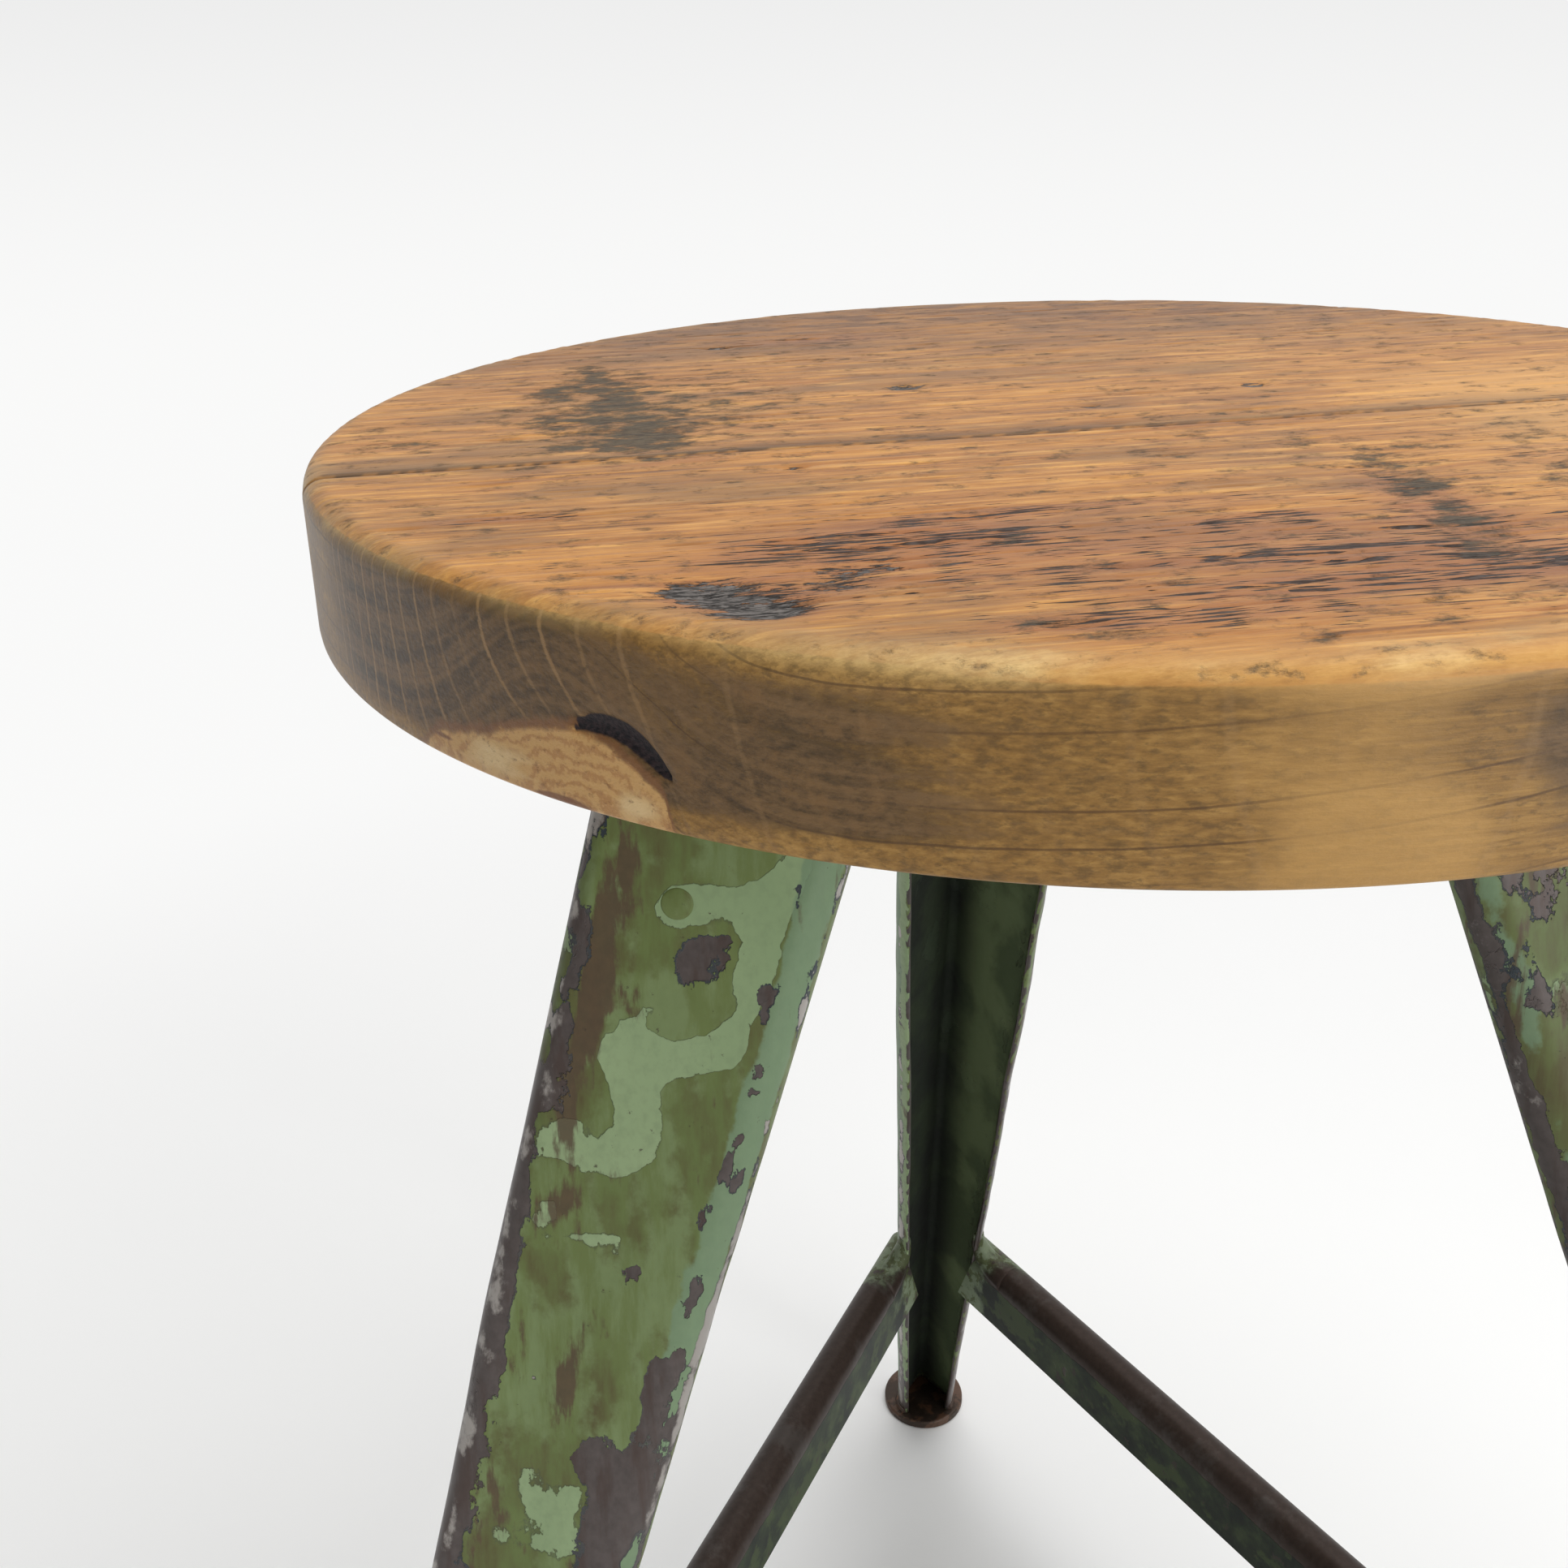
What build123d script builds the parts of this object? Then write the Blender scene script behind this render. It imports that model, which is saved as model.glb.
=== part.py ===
from build123d import *
from math import cos, sin, tan, radians, sqrt
import os

# Tripod stool: a round seat of two glued boards on three splayed folded-steel legs, tied by stretchers.
# The origin is the point on the floor under the seat's centre, +Z is up and the rear leg stands towards +Y.

# Seat
seat_height = 553.0
seat_diameter = 340.0
seat_thickness = 32.5
seat_top_round = 4.5
seat_bottom_round = 1.5
joint_offset = -30.0
joint_angle = 4.5
dowel_diameter = 10.0
dowel_length = 60.0
dowel_distance = 90.0
dowel_count = 3

# Plate under the seat and its screws
plate_diameter = 252.0
plate_thickness = 3.0
screw_circle_diameter = 208.0
screw_spread_angle = 28.0
screw_diameter = 5.0
screw_length = 24.0
screw_head_diameter = 9.5
screw_head_height = 3.2
screw_slot_width = 1.4
screw_slot_depth = 1.2

# Legs: spine_reach is how far the outer face of the spine stands from the seat's axis
leg_angles = {"rear": 90.0, "left": 210.0, "right": 330.0}
leg_gap_angle = 120.0
leg_sheet = 2.0
fold_half_angle = 38.0
lip_radius = 9.4
lip_turn_angle = 85.0
wall_top = 43.5
wall_foot = 12.0
spine_reach_top = 118.0
spine_reach_foot = 279.0

# Brackets in the leg tops and the rivets that hold them
socket_depth = 84.0
socket_sheet = 2.0
socket_bend = 0.7
socket_wall_gap = 9.0
socket_flange = 3.0
rivet_diameter = 6.0
rivet_head_diameter = 10.0
rivet_head_height = 2.4
rivet_head_taper_angle = 30.0
leg_rivet_drop = 47.5
leg_rivet_inward = 17.0
plate_rivet_setback = 26.0
plate_rivet_spread = 18.0
countersink_diameter = 9.0
countersink_angle = 90.0

# Stretchers, each halfway between two legs, with their middle lines meeting past the leg's spine
stretcher_angles = {"left": 150.0, "right": 30.0, "front": 270.0}
stretcher_height = 123.0
stretcher_width = 15.0
stretcher_depth = 28.0
stretcher_sheet = 2.0
stretcher_past_spine = 5.7
stretcher_end_inset = 26.5
weld_size = 2.5
weld_length = 6.0

# Feet
foot_diameter = 38.0
foot_thickness = 4.0
foot_round = 1.0
foot_weld_width = 1.5
foot_weld_height = 2.5

# Levels and shared places worked out from the sizes above
plate_top = seat_height - seat_thickness
leg_top = plate_top - plate_thickness
leg_foot = foot_thickness
spine_radius = socket_bend + socket_sheet + leg_sheet
half = radians(fold_half_angle)
half_gap = radians(leg_gap_angle / 2)
lip_end = radians(90.0 - fold_half_angle + lip_turn_angle)
spine_sweep = 90.0 - fold_half_angle
leg_lean = (spine_reach_foot - spine_reach_top) / (leg_top - leg_foot)
wall_tilt = sqrt(1 + (leg_lean * sin(half)) ** 2)
countersink_depth = (countersink_diameter - rivet_diameter) / 2 / tan(radians(countersink_angle / 2))


def along_leg(z):
    """Spine reach and wall length of a leg at height z, both straight tapers."""
    share = (z - leg_foot) / (leg_top - leg_foot)
    reach = spine_reach_foot + (spine_reach_top - spine_reach_foot) * share
    wall = wall_foot + (wall_top - wall_foot) * share
    return reach, wall


def bracket_at(z):
    """Spine reach and wall length of a leg's bracket at height z, its walls short of the leg's lips."""
    reach, wall = along_leg(z)
    return reach, wall - socket_wall_gap


def level(leg, z):
    """Level plane at height z whose X axis points out along a leg."""
    angle = radians(leg_angles[leg])
    return Plane(origin=(0, 0, z), x_dir=(cos(angle), sin(angle), 0), z_dir=(0, 0, 1))


def wall_line(reach, wall, skin):
    """Draw the spine and both walls of a leg's section, skin inside its outer face; return the wall ends."""
    spine_x = reach - spine_radius
    bend = spine_radius - skin
    ends = []
    CenterArc((spine_x, 0), bend, -spine_sweep, 2 * spine_sweep)
    for side in (1, -1):
        start = (spine_x + bend * sin(half), side * bend * cos(half))
        end = (start[0] - wall * cos(half), start[1] + side * wall * sin(half))
        Line(start, end)
        ends.append(end)
    return ends


def channel_line(reach, wall, skin):
    """Draw the whole open line of a leg's section with its curled lips; return the two free ends."""
    ends = []
    for side, wall_end in zip((1, -1), wall_line(reach, wall, skin)):
        curl = lip_radius - skin
        centre = (wall_end[0] - curl * sin(half), wall_end[1] - side * curl * cos(half))
        CenterArc(centre, curl, side * spine_sweep, side * lip_turn_angle)
        ends.append((centre[0] + curl * cos(lip_end), centre[1] + side * curl * sin(lip_end)))
    return ends


def sheet_line(z):
    """Draw the closed edge of a leg's folded sheet at height z."""
    outer = channel_line(*along_leg(z), 0)
    inner = channel_line(*along_leg(z), leg_sheet)
    Line(outer[0], inner[0])
    Line(outer[1], inner[1])


def filled_line(z, skin):
    """Draw a leg's outer face at height z, skin inside it, with the open side closed."""
    ends = channel_line(*along_leg(z), skin)
    Line(ends[0], ends[1])


def wall_plane(leg, side):
    """Plane on the outer face of a leg wall at its rivet, facing out."""
    z = leg_top - leg_rivet_drop
    reach, _ = along_leg(z)
    place = (
        reach - spine_radius + spine_radius * sin(half) - leg_rivet_inward * cos(half),
        side * (spine_radius * cos(half) + leg_rivet_inward * sin(half)),
        0,
    )
    frame = level(leg, z)
    normal = frame.x_dir * sin(half) + frame.y_dir * (side * cos(half)) + frame.z_dir * (leg_lean * sin(half))
    return Plane(origin=frame.from_local_coords(place), z_dir=normal)


def plate_rivet_places():
    """Places in a leg's level plane for the two rivets of its bracket flange."""
    setback = spine_reach_top - plate_rivet_setback
    return [(setback, side * plate_rivet_spread / 2) for side in (1, -1)]


def save(piece, name):
    piece.part.label = name
    export_step(piece.part, f"parts/{name}.step")


os.makedirs("parts", exist_ok=True)

# Seat boards: one turned disc parted along the glued joint, with dowel holes across it
joint_plane = Plane.XZ.rotated((0, 0, joint_angle)).offset(-joint_offset)
dowel_level = plate_top + seat_thickness / 2
dowel_places = [(dowel_distance * (i - (dowel_count - 1) / 2), dowel_level) for i in range(dowel_count)]
half_spread = screw_spread_angle / 2
screw_angles = [middle + way * half_spread for middle in stretcher_angles.values() for way in (1, -1)]


def seat_board(keep):
    """One board: the seat disc on one side of the glued joint, bored for the dowels and the screws."""
    with BuildPart() as board:
        with BuildSketch(Plane.XY.offset(plate_top)):
            Circle(seat_diameter / 2)
        extrude(amount=seat_thickness)
        fillet(board.edges().sort_by(Axis.Z)[-1], seat_top_round)
        fillet(board.edges().sort_by(Axis.Z)[0], seat_bottom_round)
        split(bisect_by=joint_plane, keep=keep)
        with BuildSketch(joint_plane):
            with Locations(*dowel_places):
                Circle(dowel_diameter / 2)
        extrude(amount=dowel_length / 2, both=True, mode=Mode.SUBTRACT)
        with BuildSketch(Plane.XY.offset(plate_top)):
            for angle in screw_angles:
                with PolarLocations(screw_circle_diameter / 2, 1, start_angle=angle):
                    Circle(screw_diameter / 2)
        extrude(amount=screw_length - plate_thickness, mode=Mode.SUBTRACT)
    return board


seat_board_front = seat_board(Keep.TOP)
seat_board_rear = seat_board(Keep.BOTTOM)
save(seat_board_front, "seat_board_front")
save(seat_board_rear, "seat_board_rear")

# Dowels across the glued joint
with BuildPart() as seat_dowels:
    with BuildSketch(joint_plane):
        with Locations(*dowel_places):
            Circle(dowel_diameter / 2)
    extrude(amount=dowel_length / 2, both=True)
save(seat_dowels, "seat_dowels")

# Steel plate under the seat, bored for the screws and countersunk for the bracket rivets
with BuildPart() as seat_plate:
    with BuildSketch(Plane.XY.offset(leg_top)):
        Circle(plate_diameter / 2)
        for angle in screw_angles:
            with PolarLocations(screw_circle_diameter / 2, 1, start_angle=angle):
                Circle(screw_diameter / 2, mode=Mode.SUBTRACT)
    extrude(amount=plate_thickness)
    for leg in leg_angles:
        with Locations(level(leg, plate_top)):
            with Locations(*plate_rivet_places()):
                CounterSinkHole(
                    rivet_diameter / 2, countersink_diameter / 2, plate_thickness, countersink_angle
                )
save(seat_plate, "seat_plate")

# Wood screws up through the plate, with slotted heads
screw_head_face = leg_top - screw_head_height
with BuildPart() as seat_screws:
    for angle in screw_angles:
        with BuildSketch(Plane.XY.offset(screw_head_face)):
            with PolarLocations(screw_circle_diameter / 2, 1, start_angle=angle):
                Circle(screw_head_diameter / 2)
        extrude(amount=screw_head_height)
        with BuildSketch(Plane.XY.offset(leg_top)):
            with PolarLocations(screw_circle_diameter / 2, 1, start_angle=angle):
                Circle(screw_diameter / 2)
        extrude(amount=screw_length)
        with BuildSketch(Plane.XY.offset(screw_head_face)):
            with PolarLocations(screw_circle_diameter / 2, 1, start_angle=angle):
                Rectangle(screw_head_diameter, screw_slot_width)
        extrude(amount=screw_slot_depth, mode=Mode.SUBTRACT)
save(seat_screws, "seat_screws")


def folded_leg(leg):
    """A tapered leg: its folded section lofted from foot to top, pierced for the flush rivets."""
    with BuildPart() as piece:
        for z in (leg_foot, leg_top):
            with BuildSketch(level(leg, z)):
                with BuildLine():
                    sheet_line(z)
                make_face()
        loft(ruled=True)
        for side in (1, -1):
            with BuildSketch(wall_plane(leg, side)):
                Circle(rivet_diameter / 2)
            extrude(amount=-2 * leg_sheet, mode=Mode.SUBTRACT)
    return piece


def leg_bracket(leg):
    """The folded bracket in a leg's top: two walls and a spine inside the leg's own, closed by a flange."""
    with BuildPart() as piece:
        for z in (leg_top - socket_depth, leg_top):
            with BuildSketch(level(leg, z)):
                with BuildLine():
                    outer = wall_line(*bracket_at(z), leg_sheet)
                    inner = wall_line(*bracket_at(z), leg_sheet + socket_sheet)
                    Line(outer[0], inner[0])
                    Line(outer[1], inner[1])
                make_face()
        loft(ruled=True)
        for z in (leg_top - socket_flange, leg_top):
            with BuildSketch(level(leg, z)):
                with BuildLine():
                    Line(*wall_line(*bracket_at(z), leg_sheet))
                make_face()
        loft(ruled=True)
        with Locations(level(leg, leg_top)):
            with Locations(*plate_rivet_places()):
                Hole(rivet_diameter / 2, socket_flange)
        for side in (1, -1):
            with BuildSketch(wall_plane(leg, side)):
                Circle(rivet_diameter / 2)
            extrude(amount=-2 * (leg_sheet + socket_sheet), mode=Mode.SUBTRACT)
    return piece


for leg in leg_angles:
    save(folded_leg(leg), f"leg_{leg}")
    save(leg_bracket(leg), f"leg_socket_{leg}")

# Rivets through leg walls and brackets: flush outside, a rounded head inside
grip = (leg_sheet + socket_sheet) / wall_tilt
with BuildPart() as leg_rivets:
    for leg in leg_angles:
        for side in (1, -1):
            face = wall_plane(leg, side)
            with BuildSketch(face):
                Circle(rivet_diameter / 2)
            extrude(amount=-grip)
            with BuildSketch(face.offset(-grip)):
                Circle(rivet_head_diameter / 2)
            extrude(amount=-rivet_head_height, taper=rivet_head_taper_angle)
save(leg_rivets, "leg_rivets")

# Rivets from the bracket flanges up through the plate: countersunk on top, a rounded head below
flange_face = leg_top - socket_flange
with BuildPart() as socket_rivets:
    for leg in leg_angles:
        with BuildSketch(level(leg, flange_face)):
            with Locations(*plate_rivet_places()):
                Circle(rivet_diameter / 2)
        extrude(amount=socket_flange + plate_thickness)
        with BuildSketch(level(leg, flange_face)):
            with Locations(*plate_rivet_places()):
                Circle(rivet_head_diameter / 2)
        extrude(amount=-rivet_head_height, taper=rivet_head_taper_angle)
        with BuildSketch(level(leg, plate_top)):
            with Locations(*plate_rivet_places()):
                Circle(countersink_diameter / 2)
        extrude(amount=-countersink_depth, taper=countersink_angle / 2)
save(socket_rivets, "socket_rivets")


def leg_envelope(leg):
    """Everything inside a leg's outer face over the height of the stretchers, to cut their ends by."""
    with BuildPart() as envelope:
        for z in (stretcher_height - stretcher_depth, stretcher_height + stretcher_depth):
            with BuildSketch(level(leg, z)):
                with BuildLine():
                    filled_line(z, 0)
                make_face()
        loft(ruled=True)
    return envelope.part


def arch_line(width, depth, drop):
    """Draw an open round-topped line, width wide, its foot at drop below the middle, depth tall."""
    edge = width / 2
    crown = depth - drop - edge
    Line((-edge, -drop), (-edge, crown))
    CenterArc((0, crown), edge, 0, 180)
    Line((edge, crown), (edge, -drop))


def stretcher_frame(name):
    """Upright plane across a stretcher at its middle, X pointing out from the seat's axis and Y up."""
    angle = radians(stretcher_angles[name])
    out = Vector(cos(angle), sin(angle), 0)
    middle = out * (stretcher_cross_reach * cos(half_gap)) + Vector(0, 0, stretcher_height)
    return Plane(origin=middle, x_dir=out, z_dir=out.cross(Vector(0, 0, 1)))


stretcher_cross_reach = along_leg(stretcher_height)[0] + stretcher_past_spine
stretcher_ends = {"left": ("rear", "left"), "right": ("rear", "right"), "front": ("left", "right")}
half_length = stretcher_cross_reach * sin(half_gap) - stretcher_end_inset
sole = stretcher_depth / 2


def stretcher(name):
    """A round-topped channel from leg to leg, open below, its ends cut to the legs' outer faces."""
    with BuildPart() as piece:
        with BuildSketch(stretcher_frame(name)):
            with BuildLine():
                arch_line(stretcher_width, stretcher_depth, sole)
                inner_edge = stretcher_width / 2 - stretcher_sheet
                arch_line(2 * inner_edge, stretcher_depth - stretcher_sheet, sole)
                Line((-stretcher_width / 2, -sole), (-inner_edge, -sole))
                Line((inner_edge, -sole), (stretcher_width / 2, -sole))
            make_face()
        extrude(amount=half_length, both=True)
        for leg in stretcher_ends[name]:
            add(leg_envelope(leg), mode=Mode.SUBTRACT)
    return piece


for name in stretcher_angles:
    save(stretcher(name), f"stretcher_{name}")

# Weld beads over the tops and the outer sides of the stretcher ends, filling the corners to the legs
with BuildPart() as stretcher_welds:
    for name in stretcher_angles:
        frame = stretcher_frame(name)
        for way in (1, -1):
            start = frame.offset(way * (half_length - weld_length))
            with BuildSketch(start):
                with BuildLine():
                    arch_line(stretcher_width + 2 * weld_size, stretcher_depth + weld_size, sole)
                    Line((-stretcher_width / 2 - weld_size, -sole), (stretcher_width / 2 + weld_size, -sole))
                make_face()
                with Locations((-stretcher_width / 2, -sole)):
                    Rectangle(weld_size, stretcher_depth, align=(Align.MAX, Align.MIN), mode=Mode.SUBTRACT)
            extrude(amount=way * (weld_length + weld_size))
        with BuildSketch(frame):
            with BuildLine():
                arch_line(stretcher_width, stretcher_depth, sole)
                Line((-stretcher_width / 2, -sole), (stretcher_width / 2, -sole))
            make_face()
        extrude(amount=half_length, both=True, mode=Mode.SUBTRACT)
    for leg in leg_angles:
        add(leg_envelope(leg), mode=Mode.SUBTRACT)
save(stretcher_welds, "stretcher_welds")

# Flat round feet, each centred under its leg's section
lip_depth = lip_radius * (sin(half) - cos(lip_end))
foot_section = spine_radius * (1 - sin(half)) + wall_foot * cos(half) + lip_depth
foot_reach = spine_reach_foot - foot_section / 2
for leg in leg_angles:
    with BuildPart() as foot:
        with BuildSketch(level(leg, 0)):
            with Locations((foot_reach, 0)):
                Circle(foot_diameter / 2)
        extrude(amount=foot_thickness)
        fillet(foot.edges(), foot_round)
    save(foot, f"foot_{leg}")

# Weld beads between the legs and the feet, along each leg's outer face only
with BuildPart() as foot_welds:
    for leg in leg_angles:
        for z, skin in ((leg_foot, -foot_weld_width), (leg_foot + foot_weld_height, -foot_weld_width / 4)):
            with BuildSketch(level(leg, z)):
                with BuildLine():
                    filled_line(z, skin)
                make_face()
        loft(ruled=True)
        for z in (leg_foot, leg_foot + foot_weld_height):
            with BuildSketch(level(leg, z)):
                with BuildLine():
                    filled_line(z, 0)
                make_face()
        loft(ruled=True, mode=Mode.SUBTRACT)
        with BuildSketch(level(leg, leg_foot)):
            with Locations((foot_reach - foot_section, 0)):
                Rectangle(foot_section, foot_diameter)
        extrude(amount=2 * foot_weld_height, mode=Mode.SUBTRACT)
save(foot_welds, "foot_welds")
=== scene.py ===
import math

import bmesh
import bpy
import numpy as np
from mathutils import Matrix


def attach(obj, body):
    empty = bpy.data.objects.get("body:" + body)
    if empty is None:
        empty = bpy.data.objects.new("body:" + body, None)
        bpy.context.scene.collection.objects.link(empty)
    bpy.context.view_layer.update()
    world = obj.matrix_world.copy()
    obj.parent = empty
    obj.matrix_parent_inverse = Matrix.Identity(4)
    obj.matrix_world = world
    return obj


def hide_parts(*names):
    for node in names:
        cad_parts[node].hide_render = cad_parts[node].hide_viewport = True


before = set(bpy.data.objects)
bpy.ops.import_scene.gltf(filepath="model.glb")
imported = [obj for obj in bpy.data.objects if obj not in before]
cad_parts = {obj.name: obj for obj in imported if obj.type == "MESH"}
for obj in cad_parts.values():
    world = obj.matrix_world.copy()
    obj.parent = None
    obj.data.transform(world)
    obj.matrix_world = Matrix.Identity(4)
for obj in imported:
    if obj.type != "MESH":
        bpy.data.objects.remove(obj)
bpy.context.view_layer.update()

# Seat, like all sizes below in millimetres
seat_radius = 170.0
seat_top = 553.0
seat_under = 520.5
edge_round = 4.5
under_round = 1.5
joint_turn = math.radians(4.5)
joint_offset = -30.0

# Legs: a fold of sheet with a rounded spine, two walls and two curled lips
leg_turns = {"rear": math.radians(90), "left": math.radians(210), "right": math.radians(330)}
leg_seeds = {"rear": 1, "left": 2, "right": 3}
leg_top = 517.5
leg_foot = 4.0
leg_sheet = 2.0
spine_reach = (279.0, 118.0)
wall_length = (12.0, 43.5)
spine_round = 4.7
lip_round = 9.4
fold = math.radians(38)
fold_sin, fold_cos = math.sin(fold), math.cos(fold)
lip_turn = math.radians(85)
spine_sweep = math.pi / 2 - fold

# Stretchers and rivets
stretcher_turns = {"left": math.radians(150), "right": math.radians(30), "front": math.radians(270)}
stretcher_legs = {"left": ("rear", "left"), "right": ("rear", "right"), "front": ("left", "right")}
stretcher_height = 123.0
stretcher_depth = 28.0
stretcher_past_spine = 5.7
weld_climb = 13.0
weld_run = 17.0
rivet_drop = 47.5
rivet_inward = 17.0
rivet_dome = 3.3
rivet_shank = 3.0
rivet_head = 5.0
rivet_grip = 4.05

# What the camera sees far behind the stool
paper_white = (0.95, 0.95, 0.945)


def wander(x, y, seed, cells=128):
    """Smooth noise from -1 to 1: seeded random heights at whole numbers, joined by the cubic step 3t^2 - 2t^3."""
    heights = np.random.default_rng(seed).uniform(-1, 1, (cells, cells))
    x, y = np.broadcast_arrays(np.asarray(x, float), np.asarray(y, float))
    i, j = np.floor(x).astype(int), np.floor(y).astype(int)
    s, t = x - i, y - j
    s, t = s * s * (3 - 2 * s), t * t * (3 - 2 * t)
    i, j, past_i, past_j = i % cells, j % cells, (i + 1) % cells, (j + 1) % cells
    near = heights[i, j] * (1 - s) + heights[past_i, j] * s
    far = heights[i, past_j] * (1 - s) + heights[past_i, past_j] * s
    return near * (1 - t) + far * t


def rise(value, low, high):
    """The cubic step from 0 at low to 1 at high."""
    t = np.clip((value - low) / (high - low), 0, 1)
    return t * t * (3 - 2 * t)


def bell(value, middle, width, power=2):
    """A hump: exp(-d^power) with d the distance from the middle over the width."""
    return np.exp(-((value - middle) / width) ** power)


def spots(x, y, table, turn=0.0):
    """The sum of soft round marks, each a row of middle, size and strength.

    A mark is exp(-(a^2 + b^2)), with a and b the distances from its middle along the turned axes, over its size."""
    total = 0
    for middle_x, middle_y, wide, tall, gain in table:
        dx, dy = x - middle_x, y - middle_y
        a = (dx * math.cos(turn) + dy * math.sin(turn)) / wide
        b = (dy * math.cos(turn) - dx * math.sin(turn)) / tall
        total = total + gain * np.exp(-(a * a + b * b))
    return total


def strokes(x, y, table):
    """The sum of brushed marks, each a row of bent path, half width and strength.

    A mark is exp(-(d / width)^4), with d the distance to the nearest straight piece of its path."""
    total = 0
    for path, width, gain in table:
        far = np.inf
        for (ax, ay), (bx, by) in zip(path, path[1:]):
            along, up = bx - ax, by - ay
            share = np.clip(((x - ax) * along + (y - ay) * up) / (along ** 2 + up ** 2), 0, 1)
            far = np.minimum(far, np.hypot(x - ax - share * along, y - ay - share * up))
        total = total + gain * bell(far, 0, width, 4)
    return total


def heading(turn):
    """The level direction at a turn about the stool's axis."""
    return np.array([math.cos(turn), math.sin(turn), 0])


def unit(vectors):
    """Each vector over its own length."""
    return vectors / np.linalg.norm(vectors, axis=-1, keepdims=True)


def patch_faces(rows, columns, start, flip=False):
    """Corner numbers of the squares of a grid of points, rows by columns, counted from start."""
    i, j = np.meshgrid(np.arange(rows - 1), np.arange(columns - 1), indexing="ij")
    corner = (start + i * columns + j).ravel()
    loop = np.stack([corner, corner + 1, corner + columns + 1, corner + columns], 1)
    return loop[:, ::-1] if flip else loop


def put_in_scene(name, data):
    """A new object in the scene, at the origin."""
    made = bpy.data.objects.new(name, data)
    bpy.context.scene.collection.objects.link(made)
    return made


def build_piece(name, patches, material, rims=()):
    """One mesh from grids of points in millimetres, shared edges merged; marks are named numbers per point.

    patches holds (points, flip, {mark: value}); rims are closed loops of points, each filled with a flat face."""
    marks = sorted({m for _, _, given in patches for m in given})
    points, faces, values, start = [], [], {m: [] for m in marks}, 0
    for grid, flip, given in patches:
        rows, columns = grid.shape[:2]
        points.append(grid.reshape(-1, 3))
        faces.extend(patch_faces(rows, columns, start, flip).tolist())
        for m in marks:
            values[m].append(np.broadcast_to(given.get(m, 0.0), (rows, columns)).ravel())
        start += rows * columns
    for loop in rims:
        points.append(loop)
        faces.append(list(range(start, start + len(loop))))
        for m in marks:
            values[m].append(np.zeros(len(loop)))
        start += len(loop)
    mesh = bpy.data.meshes.new(name)
    mesh.from_pydata(np.concatenate(points) * 0.001, [], faces)
    for m in marks:
        layer = mesh.attributes.new(m, "FLOAT", "POINT")
        layer.data.foreach_set("value", np.concatenate(values[m]).astype(np.float32))
    work = bmesh.new()
    work.from_mesh(mesh)
    bmesh.ops.remove_doubles(work, verts=work.verts, dist=4e-6)
    bmesh.ops.recalc_face_normals(work, faces=work.faces)
    work.to_mesh(mesh)
    work.free()
    mesh.shade_smooth()
    mesh.materials.append(material)
    piece = put_in_scene(name, mesh)
    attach(piece, "root")
    return piece


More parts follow.
